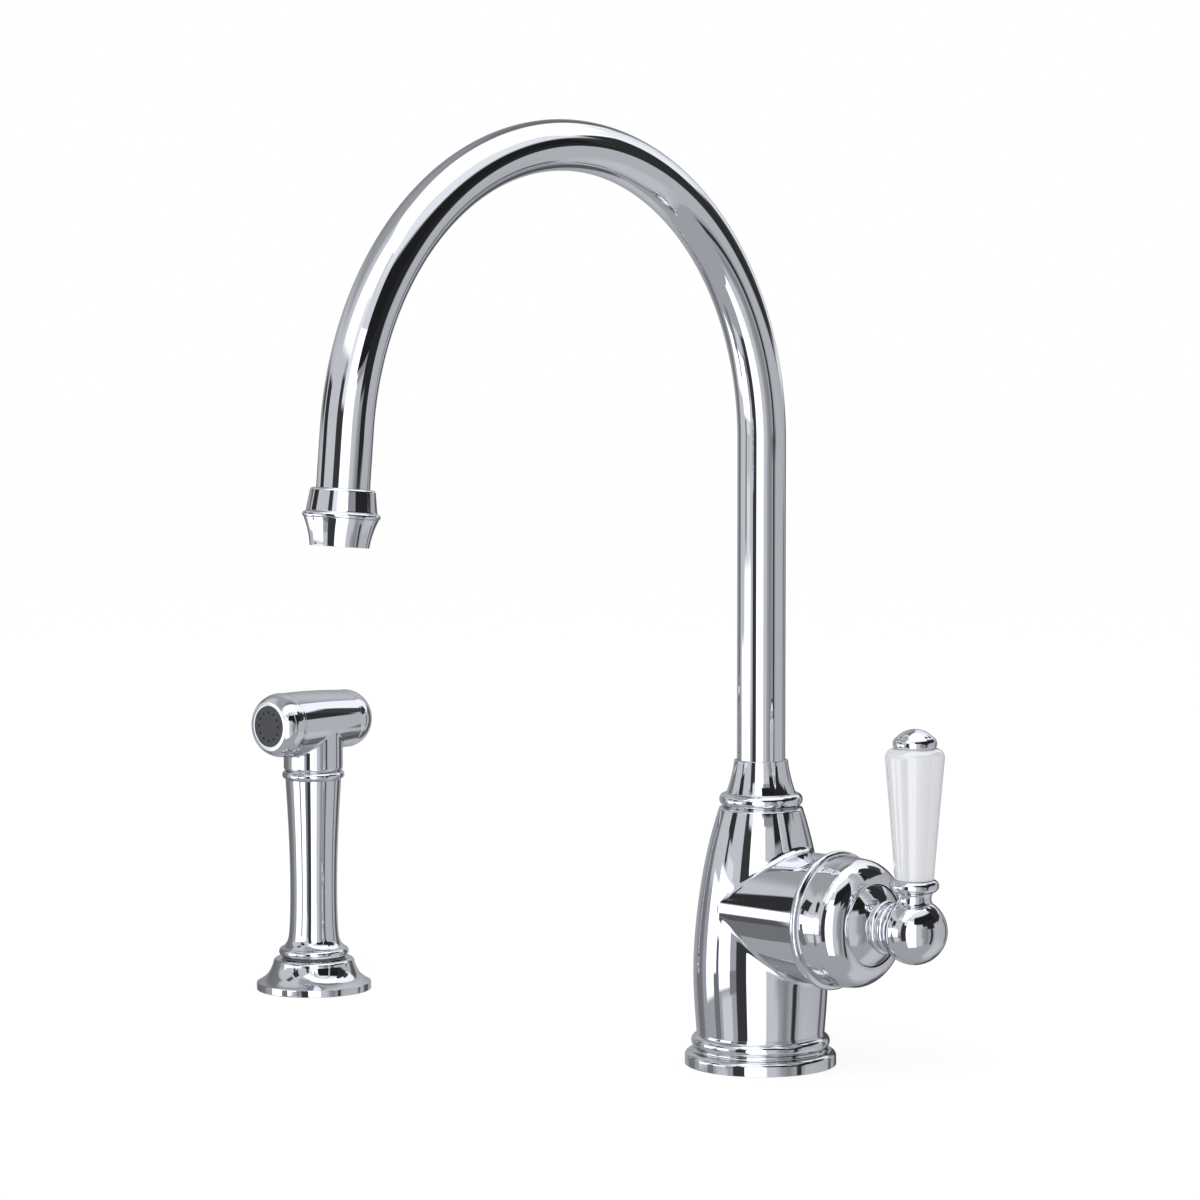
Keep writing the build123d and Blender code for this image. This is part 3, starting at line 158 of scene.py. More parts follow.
# Each card's name; its left and right edge as azimuths, from the camera's side to its right; its
# lower and upper edge as elevations; its brightness; how soft its edges are; and its bow, which is
# how far it has sunk BOW_SPAN to either side of its middle.  All angles are in degrees.
CARDS = (
    ("overhead_scrim", -182, 182, 55.5, 92, 1.60, 3, 0),
    ("rear_left_band", -176.5, -92, 55, 67.5, 0.23, 5, 10),
    ("left_scrim", -134, -55.5, 5, 57, 0.65, 3, 6),
    ("left_mid_grey", -135.5, -87, 38.5, 62, 0.40, 9, 9),
    ("left_dark", -117.5, -101.5, 20.5, 27, 0.080, 4, 5),
    ("left_high_card", -75, -35.5, 37, 83.5, 1.60, 4, 4),
    ("rear_left_glow", -176.5, -145, -39.5, 40, 0.66, 16, -1),
    ("rear_left_dark", -138, -121.5, -19, 17.5, 0.23, 5, 1),
    ("left_card_rear", -112.5, -96, -12.5, 6, 1.60, 1.5, 0),
    ("left_card", -98, -67.5, -12, 9.5, 1.60, 1.5, 0),
    ("left_card_lip", -85.5, -72, 9.5, 13.5, 0.88, 1.5, 0),
    ("left_spot", -92.5, -88, -19.5, -1, 0.11, 2, 0),
    ("left_low_dark", -97.5, -87.5, -26, -8, 0.20, 1, 0),
    ("left_low_pale", -82.5, -65, -24, -13.5, 0.72, 3, 0),
    ("left_low_strip", -68, -56.5, -14, -7.5, 0.24, 1, 1),
    ("left_black", -96.5, -82.5, 16, 28.5, 0.035, 1.5, 1),
    ("left_black_foot", -93.5, -89, 10.5, 17, 0.035, 1.5, 0),
    ("side_flag", -56.5, -37.5, -24.5, 33, 0.045, 2, 2),
    ("key_card", -38, 1.5, -49.5, 44, 1.60, 1, 0),
    ("key_top", -40.5, -11, 44, 59.5, 0.80, 1, 3),
    ("key_corner", -47.5, -36.5, 27.5, 49.5, 0.95, 3, 0),
    ("key_fade", -1.5, 25, -44.5, 32, 0.65, 5.5, 7),
    ("key_fade_middle", 19, 42.5, -19, 20, 0.35, 15, 0),
    ("key_fade_end", 34, 46.5, -39, 23, 0.26, 14, 1),
    ("right_flag", 55.5, 66, -36.5, 24, 0.037, 5.5, 0),
    ("right_card", 73.5, 157.5, -63.5, 24, 0.53, 3, 3),
    ("right_strip", 133.5, 143, -20, 12, 0.16, 5, 6),
    ("rear_fill", 134, 182, 19, 64.5, 1.16, 5, -17),
    ("rear_dark", 160.5, 182, -41, 18, 0.13, 4, 0),
    ("rear_arc", 130, 149.5, 24, 43.5, 0.060, 4.5, 4),
    ("roof_flag", -10.5, 101, 34, 64, 0.016, 2, 0),
    ("roof_flag_edge", -4, 28, 31.5, 34.5, 0.33, 1, 0),
    ("roof_flag_foot", 44, 76, 14.5, 39.5, 0.025, 3, 1),
    ("roof_tail", 100, 133, 22.5, 61, 0.034, 3, 9),
    ("roof_haze", -30.5, 108.5, 63, 82, 0.96, 6.5, 4),
    ("low_right_glow", 81.5, 136, -72.5, -23, 0.63, 16, 0),
    ("low_rear", 145.5, 160, -41.5, -27.5, 0.17, 4, 0),
    ("roof_flag_slope", 26.5, 101, 25, 36.5, 0.024, 2.5, 0),
)
tent_mesh = bpy.data.meshes.new("light_tent")
tent_bm = bmesh.new()
bmesh.ops.create_uvsphere(tent_bm, u_segments=TENT_SIDES, v_segments=TENT_RINGS, radius=TENT_R)
bmesh.ops.translate(tent_bm, verts=tent_bm.verts, vec=tent_centre)
tent_bm.to_mesh(tent_mesh)
tent_bm.free()
tent = bpy.data.objects.new("light_tent", tent_mesh)
bpy.context.scene.collection.objects.link(tent)
material, tree = new_material("tent_cards")
spot = node(tree, "ShaderNodeTexCoord").outputs["Object"]
from_centre = node(tree, "ShaderNodeVectorMath", spot, tent_centre, operation="SUBTRACT")
squared = node(tree, "ShaderNodeVectorRotate", rotation_type="Z_AXIS", Vector=from_centre, Angle=-turn)
axes = node(tree, "ShaderNodeSeparateXYZ", squared)
nearness = calculate(tree, "MULTIPLY", axes.outputs[1], -1.0)
azimuth = calculate(tree, "ARCTAN2", axes.outputs[0], nearness)
azimuth = calculate(tree, "MULTIPLY", azimuth, math.degrees(1))
height = calculate(tree, "MULTIPLY", axes.outputs[2], 1 / TENT_R)
elevation = calculate(tree, "MULTIPLY", calculate(tree, "ARCSINE", height), math.degrees(1))


def inside(value, low, high, soft):
    """1 where the angle lies between two limits, falling to 0 over the softness."""
    ramps = []
    for start, end in ((low - soft / 2, low + soft / 2), (high + soft / 2, high - soft / 2)):
        ramps.append(node(tree, "ShaderNodeMapRange", interpolation_type="SMOOTHSTEP", Value=value,
                          From_Min=start, From_Max=end))
    return calculate(tree, "MULTIPLY", *ramps)


shade = (*TENT_GREY, 1.0)
for name, left, right, low, high, brightness, soft, bow in CARDS:
    raised = elevation
    if bow:
        across = calculate(tree, "SUBTRACT", azimuth, (left + right) / 2)
        sink = calculate(tree, "MULTIPLY", calculate(tree, "MULTIPLY", across, across), bow / BOW_SPAN**2)
        raised = calculate(tree, "ADD", elevation, sink)
    mask = calculate(tree, "MULTIPLY", inside(azimuth, left, right, soft), inside(raised, low, high, soft))
    shade = blend(tree, mask, shade, (*[brightness * tone for tone in CARD_TINT], 1.0), label=name)
node(tree, "ShaderNodeOutputMaterial", node(tree, "ShaderNodeEmission", Color=shade, Strength=1.0))
material.cycles.emission_sampling = "NONE"
tent_mesh.materials.append(material)
tent.visible_camera = False
tent.visible_diffuse = False
tent.visible_transmission = False
tent.visible_shadow = False


# ---------------------------------------------------------------------------------------------
# Base ring: the stepped chrome foot that the body stands on, turned from brass and plated, with a
# rubber gasket let into its underside.  It is clamped to the deck by the shank's nut.
def through(points, spacing=0.7):
    """A smooth curve through points, as closely spaced points of it."""
    knots = np.array(points, float)
    runs = np.r_[0, np.cumsum(np.linalg.norm(np.diff(knots, axis=0), axis=1))]
    count, step = len(knots), np.diff(runs)
    matrix, right_side = np.eye(count), np.zeros_like(knots)
    for i in range(1, count - 1):
        matrix[i, i - 1:i + 2] = step[i - 1], 2 * (step[i - 1] + step[i]), step[i]
        right_side[i] = 6 * ((knots[i + 1] - knots[i]) / step[i] - (knots[i] - knots[i - 1]) / step[i - 1])
    bend = np.linalg.solve(matrix, right_side)
    at = np.linspace(0, runs[-1], max(3, int(runs[-1] / spacing)))
    i = np.clip(np.searchsorted(runs, at, "right") - 1, 0, count - 2)
    a, b, h = (runs[i + 1] - at)[:, None], (at - runs[i])[:, None], step[i][:, None]
    curve = (bend[i] * a**3 + bend[i + 1] * b**3) / (6 * h)
    curve += (knots[i] / h - bend[i] * h / 6) * a + (knots[i + 1] / h - bend[i + 1] * h / 6) * b
    return [tuple(p) for p in curve]


SMALLEST_ARC_R = 2.0


def arc(start, middle, end, spacing=0.35):
    """The arc through three points, as closely spaced points of it."""
    (ax, ay), (bx, by), (cx, cy) = start, middle, end
    d = 2 * (ax * (by - cy) + bx * (cy - ay) + cx * (ay - by))
    if abs(d) < 1e-9:
        return [start, end]
    aa, bb, cc = ax * ax + ay * ay, bx * bx + by * by, cx * cx + cy * cy
    ox = (aa * (by - cy) + bb * (cy - ay) + cc * (ay - by)) / d
    oy = (aa * (cx - bx) + bb * (ax - cx) + cc * (bx - ax)) / d
    radius, first = math.dist(start, (ox, oy)), math.atan2(ay - oy, ax - ox)
    sweep = (math.atan2(cy - oy, cx - ox) - first) % math.tau
    if (math.atan2(by - oy, bx - ox) - first) % math.tau > sweep:
        sweep -= math.tau
    count = max(4, int(abs(sweep) * max(radius, SMALLEST_ARC_R) / spacing))
    turns = [first + sweep * i / count for i in range(count + 1)]
    return [(ox + radius * math.cos(t), oy + radius * math.sin(t)) for t in turns]


END_LOOP, LOOP_ROOM = 0.3, 1.5


def cut(run, first, last):
    """The part of a run between two lengths along it, with a point close to each end."""
    along = np.r_[0, np.cumsum([math.dist(a, b) for a, b in zip(run, run[1:])])]
    edge = min(END_LOOP, (last - first) / 4)
    inner = [s for s in along if first + LOOP_ROOM * edge < s < last - LOOP_ROOM * edge]
    stations = [first, first + edge, *inner, last - edge, last]
    return list(zip(*(np.interp(stations, along, axis) for axis in zip(*run))))


LONGEST_TRIM, CLOSEST_POINTS = 0.35, 0.01


def outline(start, *moves, soften=0.25):
    """A closed outline in (radius, height) in mm.  A tuple is a straight run, a list of two points is an
    arc, and a longer list a curve.  Corners are rounded a little, as on cast and plated metal."""
    here, runs = start, []
    for move in (*moves, start):
        if isinstance(move, list):
            runs.append(arc(here, *move) if len(move) == 2 else through([here, *move]))
            here = move[-1]
        elif math.dist(here, move) > 1e-6:
            runs.append([here, move])
            here = move
    lengths = [sum(math.dist(a, b) for a, b in zip(run, run[1:])) for run in runs]
    trims = []
    for run, length, following in zip(runs, lengths, lengths[1:] + lengths[:1]):
        longest = LONGEST_TRIM * min(length, following)
        trims.append(0.0 if run[-1][0] < 1e-6 else min(soften, longest))
    kept = [cut(run, trims[i - 1], lengths[i] - trims[i]) for i, run in enumerate(runs)]
    points = []
    for run, trim, part, following in zip(runs, trims, kept, kept[1:] + kept[:1]):
        points += part
        if trim:
            p, corner, q = np.array(part[-1]), np.array(run[-1]), np.array(following[0])
            for t in (0.25, 0.5, 0.75):
                points.append(tuple((1 - t) ** 2 * p + 2 * t * (1 - t) * corner + t * t * q))
    before = points[-1:] + points[:-1]
    clean = [p for p, last in zip(points, before) if math.dist(p, last) > CLOSEST_POINTS]
    return [(max(radius, 0.0), height) for radius, height in clean]


MM = 0.001
TO_METRES, UPRIGHT = Matrix.Scale(MM, 4), Matrix.Identity(4)
SHARP_EDGE = math.radians(32)


def smooth(mesh):
    """Smooth shading up to the edges that are really sharp."""
    mesh.shade_smooth()
    mesh.set_sharp_from_angle(angle=SHARP_EDGE)


def solid(name, bm, place=UPRIGHT):
    """An object from a mesh in mm, set in its place, in metres."""
    mesh = bpy.data.meshes.new(name)
    bm.to_mesh(mesh)
    bm.free()
    mesh.transform(TO_METRES @ place)
    smooth(mesh)
    made = bpy.data.objects.new(name, mesh)
    bpy.context.scene.collection.objects.link(made)
    return made


def turned(name, points, place=UPRIGHT, around=128):
    """A closed piece turned about its axis from an outline in mm, set in its place, in metres."""
    bm = bmesh.new()
    turns = [k * math.tau / around for k in range(around)]
    circles = []
    for radius, height in points:
        if radius < 1e-4:
            circles.append([bm.verts.new((0.0, 0.0, height))])
        else:
            ring = [(radius * math.cos(t), radius * math.sin(t), height) for t in turns]
            circles.append([bm.verts.new(p) for p in ring])
    for low, high in zip(circles, circles[1:] + circles[:1]):
        if len(low) == len(high) == 1:
            continue
        for k in range(around):
            below = [low[k % len(low)], low[(k + 1) % len(low)]]
            above = [high[(k + 1) % len(high)], high[k % len(high)]]
            bm.faces.new(list(dict.fromkeys(below + above)))
    bmesh.ops.recalc_face_normals(bm, faces=bm.faces)
    return solid(name, bm, place)


def fit(piece, material, body, slot, *nodes):
    """Give the piece its finish, let it move with its body, and let it stand for its CAD nodes."""
    piece.data.materials.clear()
    piece.data.materials.append(material)
    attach(piece, body)
    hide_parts(*nodes)


def dress(material, *nodes):
    """Give CAD nodes that keep their shape a finish."""
    for name in nodes:
        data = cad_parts[name].data
        data.materials.clear()
        data.materials.append(material)


GLAZE_ROUGHNESS, GRAIN_DEPTH, GRAINS_TO_A_DRIFT = 0.03, 0.0002, 6


def finish_of(name, colour, metallic=0.0, roughness=0.4, grain=0.08, grain_size=800, bump=0.0, tint=0.06,
              stretch=(1, 1, 1), edge=1.0, glaze=0.0, glaze_ior=1.5):
    """A surface finish with a grain of its own: the colour drifts by the tint, the roughness by the
    grain, and a fine bump follows it.  The edge dims metal at a grazing angle; a glaze lies on top."""
    material, tree = new_material(name)
    spot = node(tree, "ShaderNodeTexCoord").outputs["Object"]
    spot = node(tree, "ShaderNodeMapping", Vector=spot, Scale=stretch)
    fine = node(tree, "ShaderNodeTexNoise", Vector=spot, Scale=grain_size, Detail=4.0, Roughness=0.6)
    drift = node(tree, "ShaderNodeTexNoise", Vector=spot, Scale=grain_size / GRAINS_TO_A_DRIFT, Detail=3.0,
                 Roughness=0.55)
    dark = (*[c * (1 - tint) for c in colour], 1.0)
    light = (*[min(1.0, c * (1 + tint)) for c in colour], 1.0)
    rough = node(tree, "ShaderNodeMapRange", Value=fine, To_Min=max(0.0, roughness - grain),
                 To_Max=roughness + grain)
    relief = node(tree, "ShaderNodeBump", Height=fine, Strength=bump, Distance=GRAIN_DEPTH)
    shader = node(tree, "ShaderNodeBsdfPrincipled", Base_Color=blend(tree, drift, dark, light),
                  Metallic=metallic, Roughness=rough, Normal=relief, Specular_Tint=(edge, edge, edge, 1.0),
                  Coat_Weight=glaze, Coat_Roughness=GLAZE_ROUGHNESS, Coat_IOR=glaze_ior)
    node(tree, "ShaderNodeOutputMaterial", shader)
    return material


chrome = finish_of("chrome_plate", (0.80, 0.815, 0.845), metallic=1.0, roughness=0.022, grain=0.008,
                   grain_size=260, tint=0.015, edge=0.6)
rubber = finish_of("black_rubber", (0.035, 0.035, 0.037), roughness=0.62, grain=0.1, grain_size=900,
                   bump=0.25)


def chrome_turning(node_name, body, points, place=UPRIGHT, around=128):
    """A chrome piece turned from its outline, on a body and in the place of a CAD node."""
    fit(turned(node_name + "_chrome", points, place, around), chrome, body, "chrome", node_name)


BASE_R, BASE_HEIGHT, BODY_FOOT_R, SHANK_R = 29.8, 12.8, 25.2, 16.5
BASE_BORE_R, BASE_EDGE = SHANK_R + 0.5, 3.6
GASKET_INNER_R, GASKET_OUTER_R, GASKET_DEPTH = 22.2, 27.2, 2.0
WIDE_RING = 160
chrome_turning("base_ring", "faucet_body", outline(
    (BASE_BORE_R, 0.0), (GASKET_INNER_R, 0.0), (GASKET_INNER_R, GASKET_DEPTH),
    (GASKET_OUTER_R, GASKET_DEPTH), (GASKET_OUTER_R, 0.0), (BASE_R, 0.0), (BASE_R, BASE_EDGE),
    [(28.9, 4.95), (27.0, 5.4)], [(26.1, 5.9), (26.0, 6.9)], [(27.3, 9.3), (25.25, 11.7)],
    (BODY_FOOT_R, BASE_HEIGHT), (BASE_BORE_R, BASE_HEIGHT),
    soften=0.2,
), around=WIDE_RING)
dress(rubber, "base_gasket")

# ---------------------------------------------------------------------------------------------
# Deck fastening: a brass shank with a cut thread, rubber and steel washers under the deck, and a
# brass nut with three steel jack screws that press on the steel washer.  The thread's ridges are a
# row of rings set along the shank.
brass = finish_of("turned_brass", (0.70, 0.53, 0.27), metallic=1.0, roughness=0.24, grain=0.08,
                  grain_size=700, bump=0.12, stretch=(1, 1, 6))
steel = finish_of("brushed_steel", (0.56, 0.57, 0.59), metallic=1.0, roughness=0.28, grain=0.10,
                  grain_size=900, bump=0.15, stretch=(1, 1, 5))
dress(brass, "mounting_shank", "mounting_nut", "inlet_manifold")
dress(steel, "deck_washer_steel", "jack_screws")
dress(rubber, "deck_washer_rubber")


def plan(name, **kinds):
    """A Geometry Nodes tree with named inputs; gives the tree and the sockets of its inputs."""
    tree = bpy.data.node_groups.new(name, "GeometryNodeTree")
    for title, kind in kinds.items():
        title = title.replace("_", " ")
        tree.interface.new_socket(title, in_out="INPUT", socket_type="NodeSocket" + kind)
    tree.interface.new_socket("Geometry", in_out="OUTPUT", socket_type="NodeSocketGeometry")
    return tree, node(tree, "NodeGroupInput").outputs


def end_plan(tree, geometry, finish):
    """The end of a tree: its copies become one real mesh, which gets its finish and goes out."""
    real = node(tree, "GeometryNodeRealizeInstances", geometry)
    node(tree, "NodeGroupOutput", node(tree, "GeometryNodeSetMaterial", Geometry=real, Material=finish))


def plain(made):
    """The mesh of an object with its modifiers applied, in the place of the object's own."""
    bpy.context.view_layer.update()
    ready = made.evaluated_get(bpy.context.evaluated_depsgraph_get())
    mesh = bpy.data.meshes.new_from_object(ready)
    mesh.name = made.name
    made.modifiers.clear()
    made.data = mesh


def made_by(name, tree, **inputs):
    """An object at the origin with the plain mesh that a Geometry Nodes tree makes."""
    made = bpy.data.objects.new(name, bpy.data.meshes.new(name + "_seed"))
    bpy.context.scene.collection.objects.link(made)
    modifier = made.modifiers.new("build", "NODES")
    modifier.node_group = tree
    for item in tree.interface.items_tree:
        if item.in_out == "INPUT":
            modifier[item.identifier] = inputs[item.name.replace(" ", "_")]
    plain(made)
    return made


def keep_from_mirrors(*pieces):
    """Nothing from below the deck is mirrored in the chrome above it."""
    for piece in pieces:
        piece.visible_glossy = False


THREAD_PITCH, THREAD_RIDGE, RIDGE_SIDES, THREAD_SIDES = 1.5, 0.4, 6, 72
thread_plan, given = plan("thread_ridges", Radius="Float", Pitch="Float", Count="Int", Ridge="Float",
                          Centre="Vector", Finish="Material")
step = node(thread_plan, "ShaderNodeCombineXYZ", Z=calculate(thread_plan, "MULTIPLY", given["Pitch"], -1.0))
row = node(thread_plan, "GeometryNodeMeshLine", mode="OFFSET", Count=given["Count"],
           Start_Location=given["Centre"], Offset=step)
loop = node(thread_plan, "GeometryNodeCurvePrimitiveCircle", mode="RADIUS", Resolution=THREAD_SIDES,
            Radius=given["Radius"])
section = node(thread_plan, "GeometryNodeCurvePrimitiveCircle", mode="RADIUS", Resolution=RIDGE_SIDES,
               Radius=given["Ridge"])
ridge = node(thread_plan, "GeometryNodeCurveToMesh", Curve=loop, Profile_Curve=section)
ridges = node(thread_plan, "GeometryNodeInstanceOnPoints", Points=row, Instance=ridge)
end_plan(thread_plan, ridges, given["Finish"])


def cut_thread(name, radius, ridges, centre):
    """A brass thread from its highest ridge down, in mm, on a shank of the faucet's body."""
    thread = made_by(name, thread_plan, Radius=MM * radius, Pitch=MM * THREAD_PITCH, Count=ridges,
                     Ridge=MM * THREAD_RIDGE, Centre=[MM * c for c in centre], Finish=brass)
    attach(thread, "faucet_body")
    keep_from_mirrors(thread)


SHANK_THREAD_TOP, SHANK_RIDGES = -27.5, 22
cut_thread("shank_thread", SHANK_R, SHANK_RIDGES, (0.0, 0.0, SHANK_THREAD_TOP))
keep_from_mirrors(*[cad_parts[name] for name in (
    "mounting_shank", "mounting_nut", "deck_washer_steel", "deck_washer_rubber", "jack_screws",
    "inlet_manifold")])

# ---------------------------------------------------------------------------------------------
# Body casting: a pear-shaped brass casting with the valve barrel growing out of its side through a
# small cast fillet, polished and chrome plated.  Its foot, neck and barrel are bored out.
def about_z(co, radius, height):
    """A point's place on a circle about the turned axis."""
    around = Vector((co.x, co.y)).normalized() * radius
    return Vector((around.x, around.y, height))


def bored(bm, at_rim, move, steps):
    """Close an open rim of a skin.  Each step carries it to a new radius and depth; the last is filled."""
    rim = [e for e in bm.edges if e.is_boundary and all(at_rim(v.co) for v in e.verts)]
    for radius, depth in steps:
        made = bmesh.ops.extrude_edge_only(bm, edges=rim)["geom"]
        for vertex in (g for g in made if isinstance(g, bmesh.types.BMVert)):
            vertex.co = move(vertex.co, radius, depth)
        rim = [g for g in made if isinstance(g, bmesh.types.BMEdge) and g.is_boundary]
    bmesh.ops.edgeloop_fill(bm, edges=rim)


SEAM_STEP, SEAM_RINGS, ROW_STEP, ROWS_STOP = 0.62, (0.35, 0.8, 1.4, 2.1), 1.1, 4.6
LAST_ROWS = np.array([4.2, 3.4, 2.6, 1.9, 1.3, 0.8, 0.4, 0.0])
BEHIND, BESIDE, SEAM_ROOM = -0.3, 4.0, {True: 0.6, False: 2.7}
BRANCH_ROWS, ROWS_CROWD, SETTLE_ROUNDS = 16, 1.7, 6
FILLET_FADE, LEAST_FILLET, BACK_WEIGHT = 1.5, 0.02, 9
AT_RIM, ON_SKIN, SAME_WAY = 0.01, 0.02, 0.8


def branched(name, line, branch_r, branch_at, branch_end, fillet_r, bores, place=UPRIGHT, columns=160):
    """A turned skin about Z with a round branch along +X, joined by a fillet that fades out where the
    two run side by side.  Bores close its low, high and branch rims."""
    line = np.array(line)
    run = np.r_[0, np.cumsum(np.linalg.norm(np.diff(line, axis=0), axis=1))]
    line_slope = np.gradient(line[:, 0], line[:, 1])

    def radius_at(z):
        """The turned skin's radius at a height."""
        return np.interp(z, line[:, 1], line[:, 0])

    def distance(p):
        """How far points lie outside the joined skin."""
        x, y, z = p.T
        slope, around = np.interp(z, line[:, 1], line_slope), np.hypot(x, y)
        lean = np.sqrt(1 + slope**2)
        reach = np.sqrt(y**2 + (z - branch_at) ** 2 + BACK_WEIGHT * np.minimum(x, 0.0) ** 2)
        main, branch = (around - radius_at(z)) / lean, reach - branch_r
        agree = (y * y / around - (z - branch_at) * slope) / (lean * reach)
        fillet = fillet_r * np.clip(FILLET_FADE * (1 - agree), LEAST_FILLET, 1.0)
        joined = np.hypot(np.maximum(fillet - main, 0), np.maximum(fillet - branch, 0))
        return np.maximum(fillet, np.minimum(main, branch)) - joined

    def way_out(p, step=0.05):
        """The direction in which the distance grows at each point."""
        moves = step * np.eye(3)
        return np.stack([(distance(p + m) - distance(p - m)) / (2 * step) for m in moves], axis=1)

    def seam(offset, count):
        """Points of the skin on the branch's outline, or outside it by an offset."""
        turns = np.arange(count) * math.tau / count
        y = (branch_r + offset) * np.sin(turns)
        z = branch_at + (branch_r + offset) * np.cos(turns)
        x = np.sqrt(np.maximum(radius_at(z) ** 2 - y**2, 0.0))
        return np.arctan2(y, x), np.interp(z, line[:, 1], run), x

    widest = line[:, 0].max()
    around_branch = int(math.tau * branch_r / SEAM_STEP) // 4 * 4
    turn_of, run_of, x_of = seam(0.0, around_branch)
    flat = [Vector((widest * t, s)) for t, s in zip(turn_of, run_of)]
    for offset in SEAM_RINGS:
        flat += [Vector((widest * t, s)) for t, s, x in zip(*seam(offset, around_branch)) if x > BESIDE]
    for s in np.r_[np.arange(0, run[-1] - ROWS_STOP, ROW_STEP), run[-1] - LAST_ROWS]:
        z, radius = np.interp(s, run, line[:, 1]), np.interp(s, run, line[:, 0])
        for t in np.linspace(-math.pi, math.pi, columns + 1):
            beyond = math.hypot(radius * math.sin(t), z - branch_at) - branch_r
            x = radius * math.cos(t)
            if x < BEHIND or beyond > SEAM_ROOM[x <= BESIDE]:
                flat.append(Vector((widest * t, s)))
    hoop = [(i, (i + 1) % around_branch) for i in range(around_branch)]
    laid, _, flat_faces, came_from, *_ = delaunay_2d_cdt(flat, hoop, [], 0, 1e-5)
    spread = np.array(laid)
    heights = np.interp(spread[:, 1], run, line[:, 1])
    radii = np.interp(spread[:, 1], run, line[:, 0])
    turns = spread[:, 0] / widest
    skin = np.stack([radii * np.cos(turns), radii * np.sin(turns), heights], axis=1)
    faces = []
    for face in flat_faces:
        t, s = spread[list(face)].mean(axis=0)
        z, radius = np.interp(s, run, line[:, 1]), np.interp(s, run, line[:, 0])
        t /= widest
        if math.cos(t) <= 0 or math.hypot(radius * math.sin(t), z - branch_at) >= branch_r:
            faces.append(tuple(face))
    seam_index = {i: j for j, sources in enumerate(came_from) for i in sources if i < around_branch}
    cloud, rails = [*skin], []
    shares = np.linspace(0, 1, BRANCH_ROWS)[1:] ** ROWS_CROWD
    for k in range(around_branch):
        turn, start = k * math.tau / around_branch, x_of[k]
        y, z = branch_r * math.sin(turn), branch_at + branch_r * math.cos(turn)
        rails.append([seam_index[k], *range(len(cloud), len(cloud) + len(shares))])
        cloud += [(start + share * (branch_end - start), y, z) for share in shares]
    for rail, beside in zip(rails, rails[1:] + rails[:1]):
        faces += [(rail[j], rail[j + 1], beside[j + 1], beside[j]) for j in range(len(shares))]
    cloud = np.array(cloud)
    low, high = line[0, 1] + AT_RIM, line[-1, 1] - AT_RIM
    held = (cloud[:, 2] < low) | (cloud[:, 2] > high) | (cloud[:, 0] > branch_end - AT_RIM)
    for _ in range(SETTLE_ROUNDS):
        out = way_out(cloud)
        shift = -distance(cloud)[:, None] * out / np.maximum((out**2).sum(axis=1), 1e-6)[:, None]
        cloud += np.where(held[:, None], 0.0, np.clip(shift, -1.0, 1.0))
    bm = bmesh.new()
    corners = [bm.verts.new(p) for p in cloud]
    for face in faces:
        bm.faces.new([corners[i] for i in face])
    bmesh.ops.remove_doubles(bm, verts=bm.verts, dist=1e-3)

    def about_branch(co, radius, along):
        """A point's place on a circle about the branch."""
        around = Vector((co.y, co.z - branch_at)).normalized() * radius
        return Vector((along, around.x, around.y + branch_at))

    bored(bm, lambda co: co.z < low, about_z, bores[0])
    bored(bm, lambda co: co.z > high, about_z, bores[1])
    bored(bm, lambda co: co.x > branch_end - AT_RIM, about_branch, bores[2])
    bmesh.ops.recalc_face_normals(bm, faces=bm.faces)
    places = np.array([v.co for v in bm.verts])
    out = way_out(places)
    out /= np.maximum(np.linalg.norm(out, axis=1), 1e-9)[:, None]
    on_skin = np.abs(distance(places)) < ON_SKIN
    made = solid(name, bm, place)
    spin, normals = place.to_3x3(), []
    for face in made.data.polygons:
        ways = out[list(face.vertices)]
        agree = (spin @ Vector(ways.mean(axis=0))).dot(face.normal)
        whole = on_skin[list(face.vertices)].all() and agree > SAME_WAY
        normals += [spin @ Vector(way) if whole else Vector((0.0, 0.0, 0.0)) for way in ways]
    made.data.normals_split_custom_set(normals)
    return made


VALVE_Z, BARREL_R, BARREL_END, BODY_HEIGHT = 60.5, 25.0, 36.5, 102.0
RIM_R, RIM_Z, CREASE_R = 16.4, 101.2, 14.6
SPIGOT_R, SPIGOT_END = 22.5, 41.0
THREAD_GAP, CAST_FILLET, PEAR_STEP = 0.05, 2.2, 0.1
pear = through([
    (BODY_FOOT_R, BASE_HEIGHT), (26.5, 36.9), (25.3, 57.4), (21.8, 80.6), (17.4, 98.0), (RIM_R, RIM_Z),
], spacing=PEAR_STEP)
for t in np.linspace(0.1, 1.0, 10):
    pear.append((RIM_R + t * (CREASE_R - RIM_R), RIM_Z + t * (BODY_HEIGHT - RIM_Z)))
foot_bore = [(SHANK_R + THREAD_GAP, height) for height in (BASE_HEIGHT, 34.98)]
neck_bore = [(13.05, BODY_HEIGHT), (13.05, 85.9), (10.58, 85.9), (10.58, 69.3), (9.0, 69.3), (9.0, 57.3)]
barrel_bore = [(SPIGOT_R, BARREL_END), (SPIGOT_R, SPIGOT_END), (18.5, SPIGOT_END), (18.5, 34.9),
               (17.58, 34.9), (17.58, 12.0)]
body = branched("body_casting_chrome", pear, BARREL_R, VALVE_Z, BARREL_END, CAST_FILLET,
                (foot_bore, neck_bore, barrel_bore))
fit(body, chrome, "faucet_body", "chrome", "body_casting")

